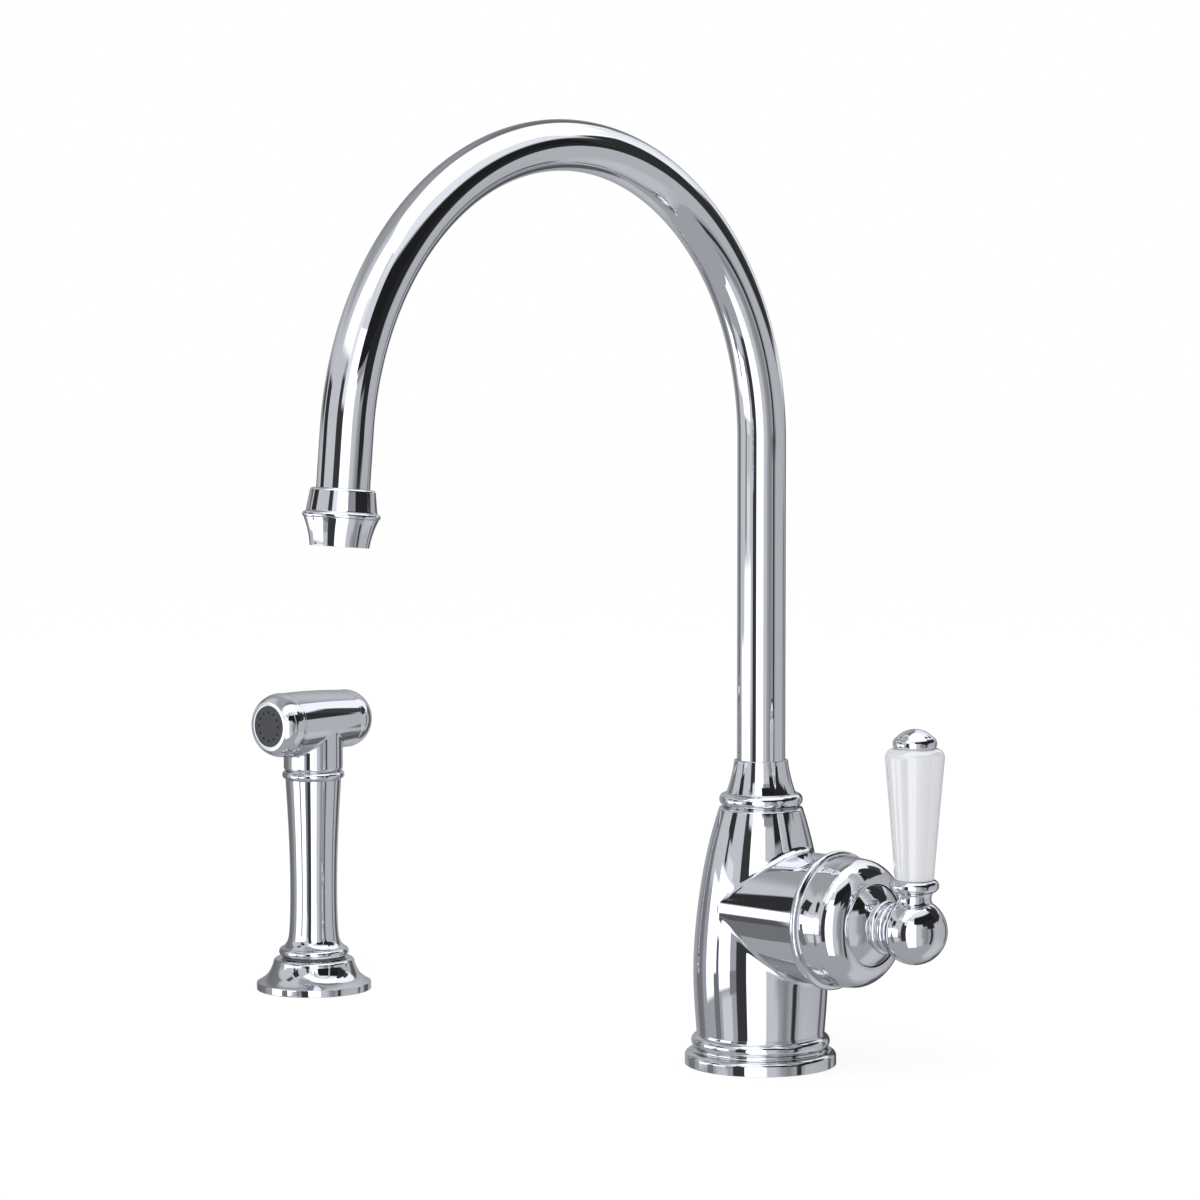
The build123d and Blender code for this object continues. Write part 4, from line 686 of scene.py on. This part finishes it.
# ---------------------------------------------------------------------------------------------
# Valve cartridge: a moulded housing with rubber seals, two lapped ceramic discs, the carrier that
# slides the upper disc, and the rotor with its steel pin.  A brass ring nut holds it in the barrel.
grey_plastic = finish_of("grey_plastic", (0.16, 0.16, 0.17), roughness=0.42, bump=0.15)
white_acetal = finish_of("white_acetal", (0.82, 0.82, 0.80), roughness=0.38, grain=0.07, grain_size=700,
                         bump=0.12, tint=0.03)
lapped_ceramic = finish_of("lapped_ceramic", (0.84, 0.84, 0.82), roughness=0.18, grain=0.06, grain_size=1200,
                           bump=0.05, tint=0.02)
dress(grey_plastic, "cartridge_housing")
dress(rubber, "cartridge_seals", "bonnet_seal")
dress(lapped_ceramic, "fixed_ceramic_disc", "moving_ceramic_disc")
dress(white_acetal, "disc_carrier", "stem_rotor")
dress(steel, "stem_pivot_pin")
dress(brass, "cartridge_nut")

# ---------------------------------------------------------------------------------------------
# Bonnet: the chrome drum screwed over the barrel's end, with a bead at its root and a rounded front
# edge.  The lever's dome turns and tilts inside its opening.
ALONG_VALVE = Matrix(((0, 0, 1, 0), (1, 0, 0, 0), (0, 1, 0, VALVE_Z), (0, 0, 0, 1)))
PIVOT_X, DOME_R, DOME_GAP = 42.0, 21.9, 0.3
BONNET_R, BONNET_FACE_R, BONNET_FACE_X = 25.2, 17.0, 57.5
SOCKET_R, SOCKET_START, SOCKET_MIDDLE = DOME_R + DOME_GAP, 0.3, 7.75
BEAD_R, BEAD_LENGTH = 27.0, 3.1


def ball_r_at(ball_r, offset):
    """Radius of a ball's section at an offset from its centre."""
    return math.sqrt(ball_r**2 - offset**2)


chrome_turning("bonnet", "faucet_body", outline(
    (SPIGOT_R + THREAD_GAP, BARREL_END), (BARREL_R, BARREL_END),
    [(BEAD_R, BARREL_END + BEAD_LENGTH / 2), (BONNET_R, BARREL_END + BEAD_LENGTH)],
    [(25.3, 43.55), (24.9, 47.5)], [(22.6, 54.3), (BONNET_FACE_R, BONNET_FACE_X)],
    (ball_r_at(SOCKET_R, BONNET_FACE_X - PIVOT_X), BONNET_FACE_X),
    [(ball_r_at(SOCKET_R, SOCKET_MIDDLE), PIVOT_X + SOCKET_MIDDLE),
     (ball_r_at(SOCKET_R, SOCKET_START), PIVOT_X + SOCKET_START)],
    (SPIGOT_R + THREAD_GAP, PIVOT_X + SOCKET_START),
    soften=0.35,
), ALONG_VALVE, around=WIDE_RING)

# ---------------------------------------------------------------------------------------------
# Lever hub: one chrome turning with the dome that fills the bonnet's opening, two small collars and
# the ball.  A grub screw under the first collar fixes it to the cartridge's steel stem.
BALL_R, LEVER_X = 12.8, 76.5
STEM_BORE_R, STEM_BORE_FROM, STEM_BORE_TO = 3.55, 50.0, 67.9
HUB_NECK_X, FIRST_END_X, SECOND_END_X = 62.0, 64.8, 67.6
FIRST_COLLAR_R, SECOND_COLLAR_R, BETWEEN_R = 10.4, 9.7, 9.0
DOME_INNER_R, BOSS_R = 19.4, 6.0
SKIRT, CROWN, INNER_CROWN = 64, 44, 41


def on_dome(radius, degrees):
    """The point of the dome's outline, or of its hollow's, at an angle from the valve's axis."""
    return radius * math.sin(math.radians(degrees)), PIVOT_X + radius * math.cos(math.radians(degrees))


chrome_turning("lever_hub", "lever", outline(
    (0.0, STEM_BORE_TO), (STEM_BORE_R, STEM_BORE_TO), (STEM_BORE_R, STEM_BORE_FROM), (BOSS_R, STEM_BORE_FROM),
    (BOSS_R, PIVOT_X + ball_r_at(DOME_INNER_R, BOSS_R)),
    [on_dome(DOME_INNER_R, INNER_CROWN), on_dome(DOME_INNER_R, SKIRT)], on_dome(DOME_R, SKIRT),
    [on_dome(DOME_R, CROWN), (ball_r_at(DOME_R, HUB_NECK_X - PIVOT_X), HUB_NECK_X)],
    [(FIRST_COLLAR_R, (HUB_NECK_X + FIRST_END_X) / 2), (BETWEEN_R, FIRST_END_X)],
    [(SECOND_COLLAR_R, (FIRST_END_X + SECOND_END_X) / 2),
     (ball_r_at(BALL_R, LEVER_X - SECOND_END_X), SECOND_END_X)],
    [(BALL_R, LEVER_X), (0.0, LEVER_X + BALL_R)],
    soften=0.15,
), ALONG_VALVE)
dress(steel, "lever_stem", "hub_grub_screw", "lever_rod")

# ---------------------------------------------------------------------------------------------
# Lever: a chrome collar on the ball, a glazed porcelain grip between two soft washers, and a chrome
# finial screwed on the steel rod that holds them all together.
LEVER_AXIS = Matrix.Translation((LEVER_X, 0.0, 0.0))
COLLAR_Z, RING_Z, GRIP_Z, SHOULDER_Z, FINIAL_Z = 71.15, 75.65, 80.25, 126.65, 130.45
GRIP_FOOT_R, GRIP_HEAD_R, GRIP_TOP_R, GRIP_BORE_R, HOLLOW = 7.45, 11.4, 7.9, 2.8, 0.48
COLLAR_R, COLLAR_FOOT_R, ROD_BORE_R = 9.5, 7.1, 2.55
WASHER_R, WASHER_T = 5.55, 0.8
chrome_turning("lever_collar", "lever", outline(
    (ROD_BORE_R, COLLAR_Z), (COLLAR_FOOT_R, COLLAR_Z), [(6.6, 73.4), (GRIP_FOOT_R, RING_Z)],
    [(COLLAR_R, (RING_Z + GRIP_Z) / 2), (GRIP_FOOT_R, GRIP_Z)], (ROD_BORE_R, GRIP_Z),
    soften=0.12,
), LEVER_AXIS)
grip = turned("porcelain_grip_glazed", outline(
    (GRIP_BORE_R, GRIP_Z + WASHER_T), (WASHER_R, GRIP_Z + WASHER_T), (WASHER_R, GRIP_Z),
    (GRIP_FOOT_R, GRIP_Z),
    [(GRIP_FOOT_R + HOLLOW * (GRIP_HEAD_R - GRIP_FOOT_R), (GRIP_Z + SHOULDER_Z) / 2),
     (GRIP_HEAD_R, SHOULDER_Z)],
    [(10.35, 129.39), (GRIP_TOP_R, FINIAL_Z)],
    (WASHER_R, FINIAL_Z), (WASHER_R, FINIAL_Z - WASHER_T), (GRIP_BORE_R, FINIAL_Z - WASHER_T),
    soften=0.4,
), LEVER_AXIS)
porcelain = finish_of("glazed_porcelain", (0.835, 0.85, 0.88), roughness=0.35, grain=0.05, grain_size=120,
                      bump=0.01, tint=0.008, glaze=1.0, glaze_ior=1.85)
fit(grip, porcelain, "lever", "porcelain", "porcelain_grip")
dress(white_acetal, "grip_washers")
FINIAL_R, FINIAL_EDGE_R, FINIAL_EDGE_Z, FINIAL_TOP_Z, FINIAL_BORE_Z = 8.45, 6.95, 134.75, 137.75, 135.13


def cap_arc(edge_r, edge_z, top_z):
    """The arc of a shallow dome, from its edge up to its top on the axis."""
    ball_r = (edge_r**2 + (top_z - edge_z) ** 2) / (2 * (top_z - edge_z))
    half = math.atan2(edge_r, edge_z - top_z + ball_r) / 2
    return [(ball_r * math.sin(half), top_z - ball_r + ball_r * math.cos(half)), (0.0, top_z)]


chrome_turning("lever_finial", "lever", outline(
    (ROD_BORE_R, FINIAL_Z), (GRIP_TOP_R, FINIAL_Z),
    [(FINIAL_R, (FINIAL_Z + FINIAL_EDGE_Z) / 2), (FINIAL_EDGE_R, FINIAL_EDGE_Z)],
    cap_arc(FINIAL_EDGE_R, FINIAL_EDGE_Z, FINIAL_TOP_Z),
    (0.0, FINIAL_BORE_Z), (ROD_BORE_R, FINIAL_BORE_Z),
    soften=0.12,
), LEVER_AXIS)

# ---------------------------------------------------------------------------------------------
# Diverter: a white piston on a steel spring under a brass seat, in the neck below the spout.  It
# sends the water to the hand spray when that is opened.
dress(brass, "diverter_seat")
dress(white_acetal, "diverter_piston")
dress(steel, "diverter_spring")

# ---------------------------------------------------------------------------------------------
# Spout cone: the chrome cone with a bead at its foot that is screwed into the body's neck and
# holds the spout's brass ferrule, O-rings, glide ring and clip, on which the spout swivels.
CONE_FOOT_Z, CONE_SCREW_R, CONE_BORE_R = 91.0, 13.0, 11.0
CONE_TOP_Z, CONE_TOP_R, CONE_LIP_Z, CONE_LIP_R = 120.0, 10.5, 112.0, 9.58
chrome_turning("spout_cone", "faucet_body", outline(
    (CONE_BORE_R, CONE_FOOT_Z), (CONE_SCREW_R, CONE_FOOT_Z), (CONE_SCREW_R, BODY_HEIGHT),
    (CREASE_R, BODY_HEIGHT), [(16.4, 104.5), (13.65, 107.0)], [(11.75, 113.24), (CONE_TOP_R, CONE_TOP_Z)],
    (CONE_LIP_R, CONE_TOP_Z), (CONE_LIP_R, CONE_LIP_Z), (CONE_BORE_R, CONE_LIP_Z),
    soften=0.2,
))
dress(brass, "spout_ferrule")
dress(rubber, "spout_o_rings")
dress(white_acetal, "spout_glide_ring", "spout_clip")

# ---------------------------------------------------------------------------------------------
# Spout: a chrome tube bent in one round arch, swept along its line: straight up from the ferrule,
# round the arch, and a short straight tail into the nozzle.
FOOT_Z, RISE_Z, ARCH_R, SWEEP, TAIL = 84.2, 245.4, 112.34, math.radians(174.73), 29.65
TUBE_R, TUBE_WALL, TUBE_STATIONS, TUBE_SIDES = 9.5, 1.2, 300, 64
spout_plan, given = plan("spout_sweep", Foot="Float", Rise="Float", Arch_Radius="Float", Sweep="Float",
                         Tail="Float", Tube_Radius="Float", Stations="Int", Finish="Material")


def maths(operation):
    """A function that puts a Math node of one kind into the spout's tree."""
    return lambda *values: calculate(spout_plan, operation, *values)


plus, less, product, quotient = map(maths, ("ADD", "SUBTRACT", "MULTIPLY", "DIVIDE"))
least, sine, cosine = map(maths, ("MINIMUM", "SINE", "COSINE"))


def total(first, *others):
    """The sum of several values."""
    for other in others:
        first = plus(first, other)
    return first


bend_length = product(given["Arch Radius"], given["Sweep"])
length = total(given["Rise"], bend_length, given["Tail"])
index = node(spout_plan, "GeometryNodeInputIndex")
way = product(quotient(index, less(given["Stations"], 1.0)), length)
risen = least(way, given["Rise"])
past_rise = less(way, risen)
bent = least(past_rise, bend_length)
tail = less(past_rise, bent)
angle = quotient(bent, given["Arch Radius"])
forward = total(product(given["Arch Radius"], less(1.0, cosine(angle))), product(tail, sine(given["Sweep"])))
arched = product(given["Arch Radius"], sine(angle))
lifted = total(given["Foot"], risen, arched, product(tail, cosine(given["Sweep"])))
station = node(spout_plan, "ShaderNodeCombineXYZ", Y=product(forward, -1.0), Z=lifted)
stations = node(spout_plan, "GeometryNodeMeshLine", mode="OFFSET", Count=given["Stations"])
bent_line = node(spout_plan, "GeometryNodeSetPosition", Geometry=stations, Position=station)
centre_line = node(spout_plan, "GeometryNodeMeshToCurve", bent_line)
hoop = node(spout_plan, "GeometryNodeCurvePrimitiveCircle", mode="RADIUS", Resolution=TUBE_SIDES,
            Radius=given["Tube Radius"])
swept = node(spout_plan, "GeometryNodeCurveToMesh", Curve=centre_line, Profile_Curve=hoop)
end_plan(spout_plan, swept, given["Finish"])
tube = made_by("spout_tube_chrome", spout_plan, Foot=MM * FOOT_Z, Rise=MM * (RISE_Z - FOOT_Z),
               Arch_Radius=MM * ARCH_R, Sweep=SWEEP, Tail=MM * TAIL, Tube_Radius=MM * TUBE_R,
               Stations=TUBE_STATIONS, Finish=chrome)
wall = tube.modifiers.new("wall", "SOLIDIFY")
wall.thickness, wall.offset = MM * TUBE_WALL, -1.0
plain(tube)
bm = bmesh.new()
bm.from_mesh(tube.data)
bmesh.ops.recalc_face_normals(bm, faces=bm.faces)
bm.to_mesh(tube.data)
bm.free()
smooth(tube.data)
fit(tube, chrome, "spout", "chrome", "spout_tube")

# ---------------------------------------------------------------------------------------------
# Nozzle: a chrome collar pressed on the tube's end, and below its bead the aerator's housing, which
# holds a grey perforated insert on a rubber washer.
NOZZLE_START, BEAD_FROM, BEAD_TO, NOZZLE_END = 20.6, 8.3, 10.4, 20.4
COLLAR_BORE_R, HOUSING_BORE_R, HOUSING_R, HOUSING_END_R = 9.55, 8.9, 13.3, 10.5
tail_way = Vector((0.0, -math.sin(SWEEP), math.cos(SWEEP)))
root = Vector((0.0, -ARCH_R * (1 - math.cos(SWEEP)), RISE_Z + ARCH_R * math.sin(SWEEP)))
across = tail_way.cross(Vector((1.0, 0.0, 0.0)))
NOZZLE = Matrix.Translation(root + NOZZLE_START * tail_way) @ Matrix(
    ((1, across.x, tail_way.x), (0, across.y, tail_way.y), (0, across.z, tail_way.z))).to_4x4()
chrome_turning("nozzle_collar", "spout", outline(
    (COLLAR_BORE_R, 0.0), (10.5, 0.0), [(11.27, 0.33), (11.6, 1.1)], (12.6, BEAD_FROM),
    [(13.75, 9.35), (HOUSING_R, BEAD_TO)], (COLLAR_BORE_R, BEAD_TO),
    soften=0.2,
), NOZZLE)
chrome_turning("aerator_housing", "spout", outline(
    (HOUSING_BORE_R, BEAD_TO), (HOUSING_R, BEAD_TO), [(11.45, 15.4), (HOUSING_END_R, NOZZLE_END)],
    (HOUSING_BORE_R, NOZZLE_END),
    soften=0.2,
), NOZZLE)
dress(grey_plastic, "aerator_insert")
dress(rubber, "aerator_washer")

# ---------------------------------------------------------------------------------------------
# Holder of the hand spray: a bell-shaped chrome foot on its own brass shank, with a plastic liner
# that the handset rests on, a gasket under it, and a steel washer and wing nut under the deck.
SPRAY_X, SPRAY_Y = -251.5, -3.5
AT_SPRAY = Matrix.Translation((SPRAY_X, SPRAY_Y, 0.0))
HOLDER_R, HOLDER_EDGE, HOLDER_HEIGHT, HOLDER_LIP_Z, LINER_R = 24.8, 3.1, 13.6, 10.0, 11.65
HOLDER_SHANK_R, HOLDER_THREAD_TOP, HOLDER_RIDGES = 14.5, -32.5, 11
SEAL_INNER_R, SEAL_OUTER_R, SEAL_DEPTH = 18.2, 22.2, 2.0
chrome_turning("spray_holder", "faucet_body", outline(
    (HOLDER_SHANK_R + THREAD_GAP, 0.0), (SEAL_INNER_R, 0.0), (SEAL_INNER_R, SEAL_DEPTH),
    (SEAL_OUTER_R, SEAL_DEPTH), (SEAL_OUTER_R, 0.0), (HOLDER_R, 0.0), (HOLDER_R, HOLDER_EDGE),
    [(22.71, 4.29), (20.3, 6.29), (18.61, 8.97), (17.6, 11.6)], [(17.15, 13.0), (16.2, HOLDER_HEIGHT)],
    (LINER_R, HOLDER_HEIGHT), (LINER_R, HOLDER_LIP_Z), (HOLDER_SHANK_R + THREAD_GAP, HOLDER_LIP_Z),
    soften=0.25,
), AT_SPRAY, around=WIDE_RING)
dress(rubber, "spray_holder_gasket")
dress(brass, "spray_holder_shank")
dress(grey_plastic, "spray_holder_liner", "spray_holder_nut")
dress(steel, "spray_holder_washer")
cut_thread("holder_thread", HOLDER_SHANK_R, HOLDER_RIDGES, (SPRAY_X, SPRAY_Y, HOLDER_THREAD_TOP))
keep_from_mirrors(*[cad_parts[name] for name in (
    "spray_holder_shank", "spray_holder_nut", "spray_holder_washer", "hose_connector",
    "spray_holder_liner")])

# ---------------------------------------------------------------------------------------------
# Hose connector: a brass barrel inside the liner with an O-ring and a white clip.  The handset
# turns on it, and the two lift out of the holder together.
dress(brass, "hose_connector")
dress(rubber, "connector_o_ring")
dress(white_acetal, "connector_clip")

# ---------------------------------------------------------------------------------------------
# Handset grip: a slim waisted chrome handle with a rounded ring at its foot and a bead under the
# head, turned and bored for the water.
HANDLE_Z, HANDLE_TOP, HANDLE_RING_R, HANDLE_RING_TOP = 14.5, 95.2, 13.65, 18.3
CONNECTOR_BORE_R, CONNECTOR_TOP, WATER_R, STUB_BORE_R, STUB_Z = 6.98, 32.8, 5.0, 8.05, 85.2
CLIP_R, CLIP_FROM, CLIP_TO = 7.9, 29.4, 31.4
chrome_turning("spray_grip", "spray_handset", outline(
    (CONNECTOR_BORE_R, HANDLE_Z), (HANDLE_RING_R, HANDLE_Z),
    [(15.15, 16.4), (HANDLE_RING_R, HANDLE_RING_TOP)],
    [(12.3, 19.58), (11.29, 21.44), (10.83, 23.78), (10.37, 30.64), (10.2, 48.39), (11.15, 75.43),
     (12.1, 91.6)],
    [(13.5, 93.4), (12.0, HANDLE_TOP)],
    (STUB_BORE_R, HANDLE_TOP), (STUB_BORE_R, STUB_Z), (WATER_R, STUB_Z), (WATER_R, CONNECTOR_TOP),
    (CONNECTOR_BORE_R, CONNECTOR_TOP), (CONNECTOR_BORE_R, CLIP_TO), (CLIP_R, CLIP_TO),
    (CLIP_R, CLIP_FROM), (CONNECTOR_BORE_R, CLIP_FROM),
    soften=0.15,
), AT_SPRAY)

# ---------------------------------------------------------------------------------------------
# Handset head: a chrome T, the cross barrel on its short stub, with a front cap round the black
# rose, a rounded rear cap, and the valve's seat and spring inside.
HEAD_Z, HEAD_R, REAR_R, STUB_R, HEAD_FRONT, HEAD_REAR = 116.3, 13.65, 12.5, 12.83, 16.2, 17.5
STUB_END, STUB_FILLET, HEAD_COLUMNS = 19.5, 1.1, 112
HEAD_BORE_R, FRONT_DEPTH, REAR_DEPTH, STUB_SPIGOT_R = 9.5, -6.5, -9.0, 8.0
CAP_SCREW_R, CAP_SOFT = 9.45, 0.22
HEAD = Matrix(((0, 1, 0, SPRAY_X), (0, 0, -1, SPRAY_Y), (-1, 0, 0, HEAD_Z), (0, 0, 0, 1)))
barrel_line = arc((REAR_R, -HEAD_REAR), (13.5, -0.65), (HEAD_R, HEAD_FRONT))
rear_bore = [(HEAD_BORE_R, -HEAD_REAR), (HEAD_BORE_R, REAR_DEPTH)]
front_bore = [(HEAD_BORE_R, HEAD_FRONT), (HEAD_BORE_R, FRONT_DEPTH)]
stub_foot = [(12.78, 19.9), (12.54, 20.62), (12.2, 20.95), (12.0, 21.1), (STUB_SPIGOT_R, 21.1),
             (STUB_SPIGOT_R, 31.1), (WATER_R, 31.1), (WATER_R, 10.5)]
cross = branched("spray_head_chrome", barrel_line, STUB_R, 0.0, STUB_END, STUB_FILLET,
                 (rear_bore, front_bore, stub_foot), HEAD, columns=HEAD_COLUMNS)
fit(cross, chrome, "spray_handset", "chrome", "spray_head")
FRONT_ROOT, FRONT_BORE_R, FACE, FACE_R, ROSE_R, ROSE_SEAT = 12.5, 7.9, 26.3, 10.7, 8.7, 22.9
chrome_turning("spray_front_cap", "spray_handset", outline(
    (FRONT_BORE_R, FRONT_ROOT), (CAP_SCREW_R, FRONT_ROOT), (CAP_SCREW_R, HEAD_FRONT),
    (HEAD_R, HEAD_FRONT), (HEAD_R, 17.21), [(12.91, 23.07), (FACE_R, FACE)],
    (ROSE_R + THREAD_GAP, FACE), (ROSE_R + THREAD_GAP, ROSE_SEAT), (FRONT_BORE_R, ROSE_SEAT),
    soften=CAP_SOFT,
), HEAD)
BACKWARD = HEAD @ Matrix.Rotation(math.pi, 4, "X")
REAR_ROOT, REAR_BORE_R, REAR_LIP, REAR_END, REAR_END_R, BUTTON_HOLE_R = 14.5, 8.5, 22.5, 27.5, 8.0, 7.1
chrome_turning("spray_rear_cap", "spray_handset", outline(
    (REAR_BORE_R, REAR_ROOT), (CAP_SCREW_R, REAR_ROOT), (CAP_SCREW_R, HEAD_REAR), (REAR_R, HEAD_REAR),
    [(11.36, 23.7), (REAR_END_R, REAR_END)], (BUTTON_HOLE_R, REAR_END), (BUTTON_HOLE_R, REAR_LIP),
    (REAR_BORE_R, REAR_LIP),
    soften=CAP_SOFT,
), BACKWARD)
dress(rubber, "rose_gasket")
dress(brass, "spray_valve_seat")
dress(steel, "button_spring")

# ---------------------------------------------------------------------------------------------
# Rose: the moulded black plate in the head's face, with a ring of twelve spray holes through it.
ROSE_FRONT, ROSE_BACK, ROSE_SIDES = 26.2, 24.3, 96
HOLE_R, HOLE_CIRCLE, HOLES, HOLE_SIDES = 0.5, 6.1, 12, 20
rose_plan, given = plan("rose_plate", Radius="Float", Thickness="Float", Hole_Radius="Float",
                        Hole_Circle="Float", Holes="Int", Finish="Material")
plate = node(rose_plan, "GeometryNodeMeshCylinder", Vertices=ROSE_SIDES, Radius=given["Radius"],
             Depth=given["Thickness"])
drill = node(rose_plan, "GeometryNodeMeshCylinder", Vertices=HOLE_SIDES, Radius=given["Hole Radius"],
             Depth=calculate(rose_plan, "MULTIPLY", given["Thickness"], 2.0))
circle = node(rose_plan, "GeometryNodeMeshCircle", Vertices=given["Holes"], Radius=given["Hole Circle"])
drills = node(rose_plan, "GeometryNodeInstanceOnPoints", Points=circle, Instance=drill)
drills = node(rose_plan, "GeometryNodeRealizeInstances", drills)
pierced = node(rose_plan, "GeometryNodeMeshBoolean", plate, drills, operation="DIFFERENCE")
end_plan(rose_plan, pierced, given["Finish"])
black_plastic = finish_of("moulded_black", (0.045, 0.046, 0.05), roughness=0.34, grain_size=1500, bump=0.2)
rose = made_by("spray_rose_black", rose_plan, Radius=MM * ROSE_R, Thickness=MM * (ROSE_FRONT - ROSE_BACK),
               Hole_Radius=MM * HOLE_R, Hole_Circle=MM * HOLE_CIRCLE, Holes=HOLES, Finish=black_plastic)
IN_FACE = HEAD @ Matrix.Translation((0, 0, (ROSE_FRONT + ROSE_BACK) / 2))
rose.data.transform(TO_METRES @ IN_FACE @ TO_METRES.inverted())
smooth(rose.data)
fit(rose, black_plastic, "spray_handset", "rose_black", "spray_rose")

# ---------------------------------------------------------------------------------------------
# Trigger: the domed chrome button in the rear cap and the steel stem with a rubber washer that it
# pushes off the valve seat.
FLANGE_R, FLANGE_FROM, FLANGE_TO = 8.2, 20.7, 22.2
BUTTON_R, BUTTON_EDGE, BUTTON_TOP = 6.8, 28.0, 31.5
chrome_turning("spray_button", "spray_trigger", outline(
    (0.0, FLANGE_FROM), (FLANGE_R, FLANGE_FROM), (FLANGE_R, FLANGE_TO), (BUTTON_R, FLANGE_TO),
    (BUTTON_R, BUTTON_EDGE), cap_arc(BUTTON_R, BUTTON_EDGE, BUTTON_TOP),
    soften=0.2,
), BACKWARD)
dress(steel, "spray_valve_stem")
dress(rubber, "spray_valve_washer")
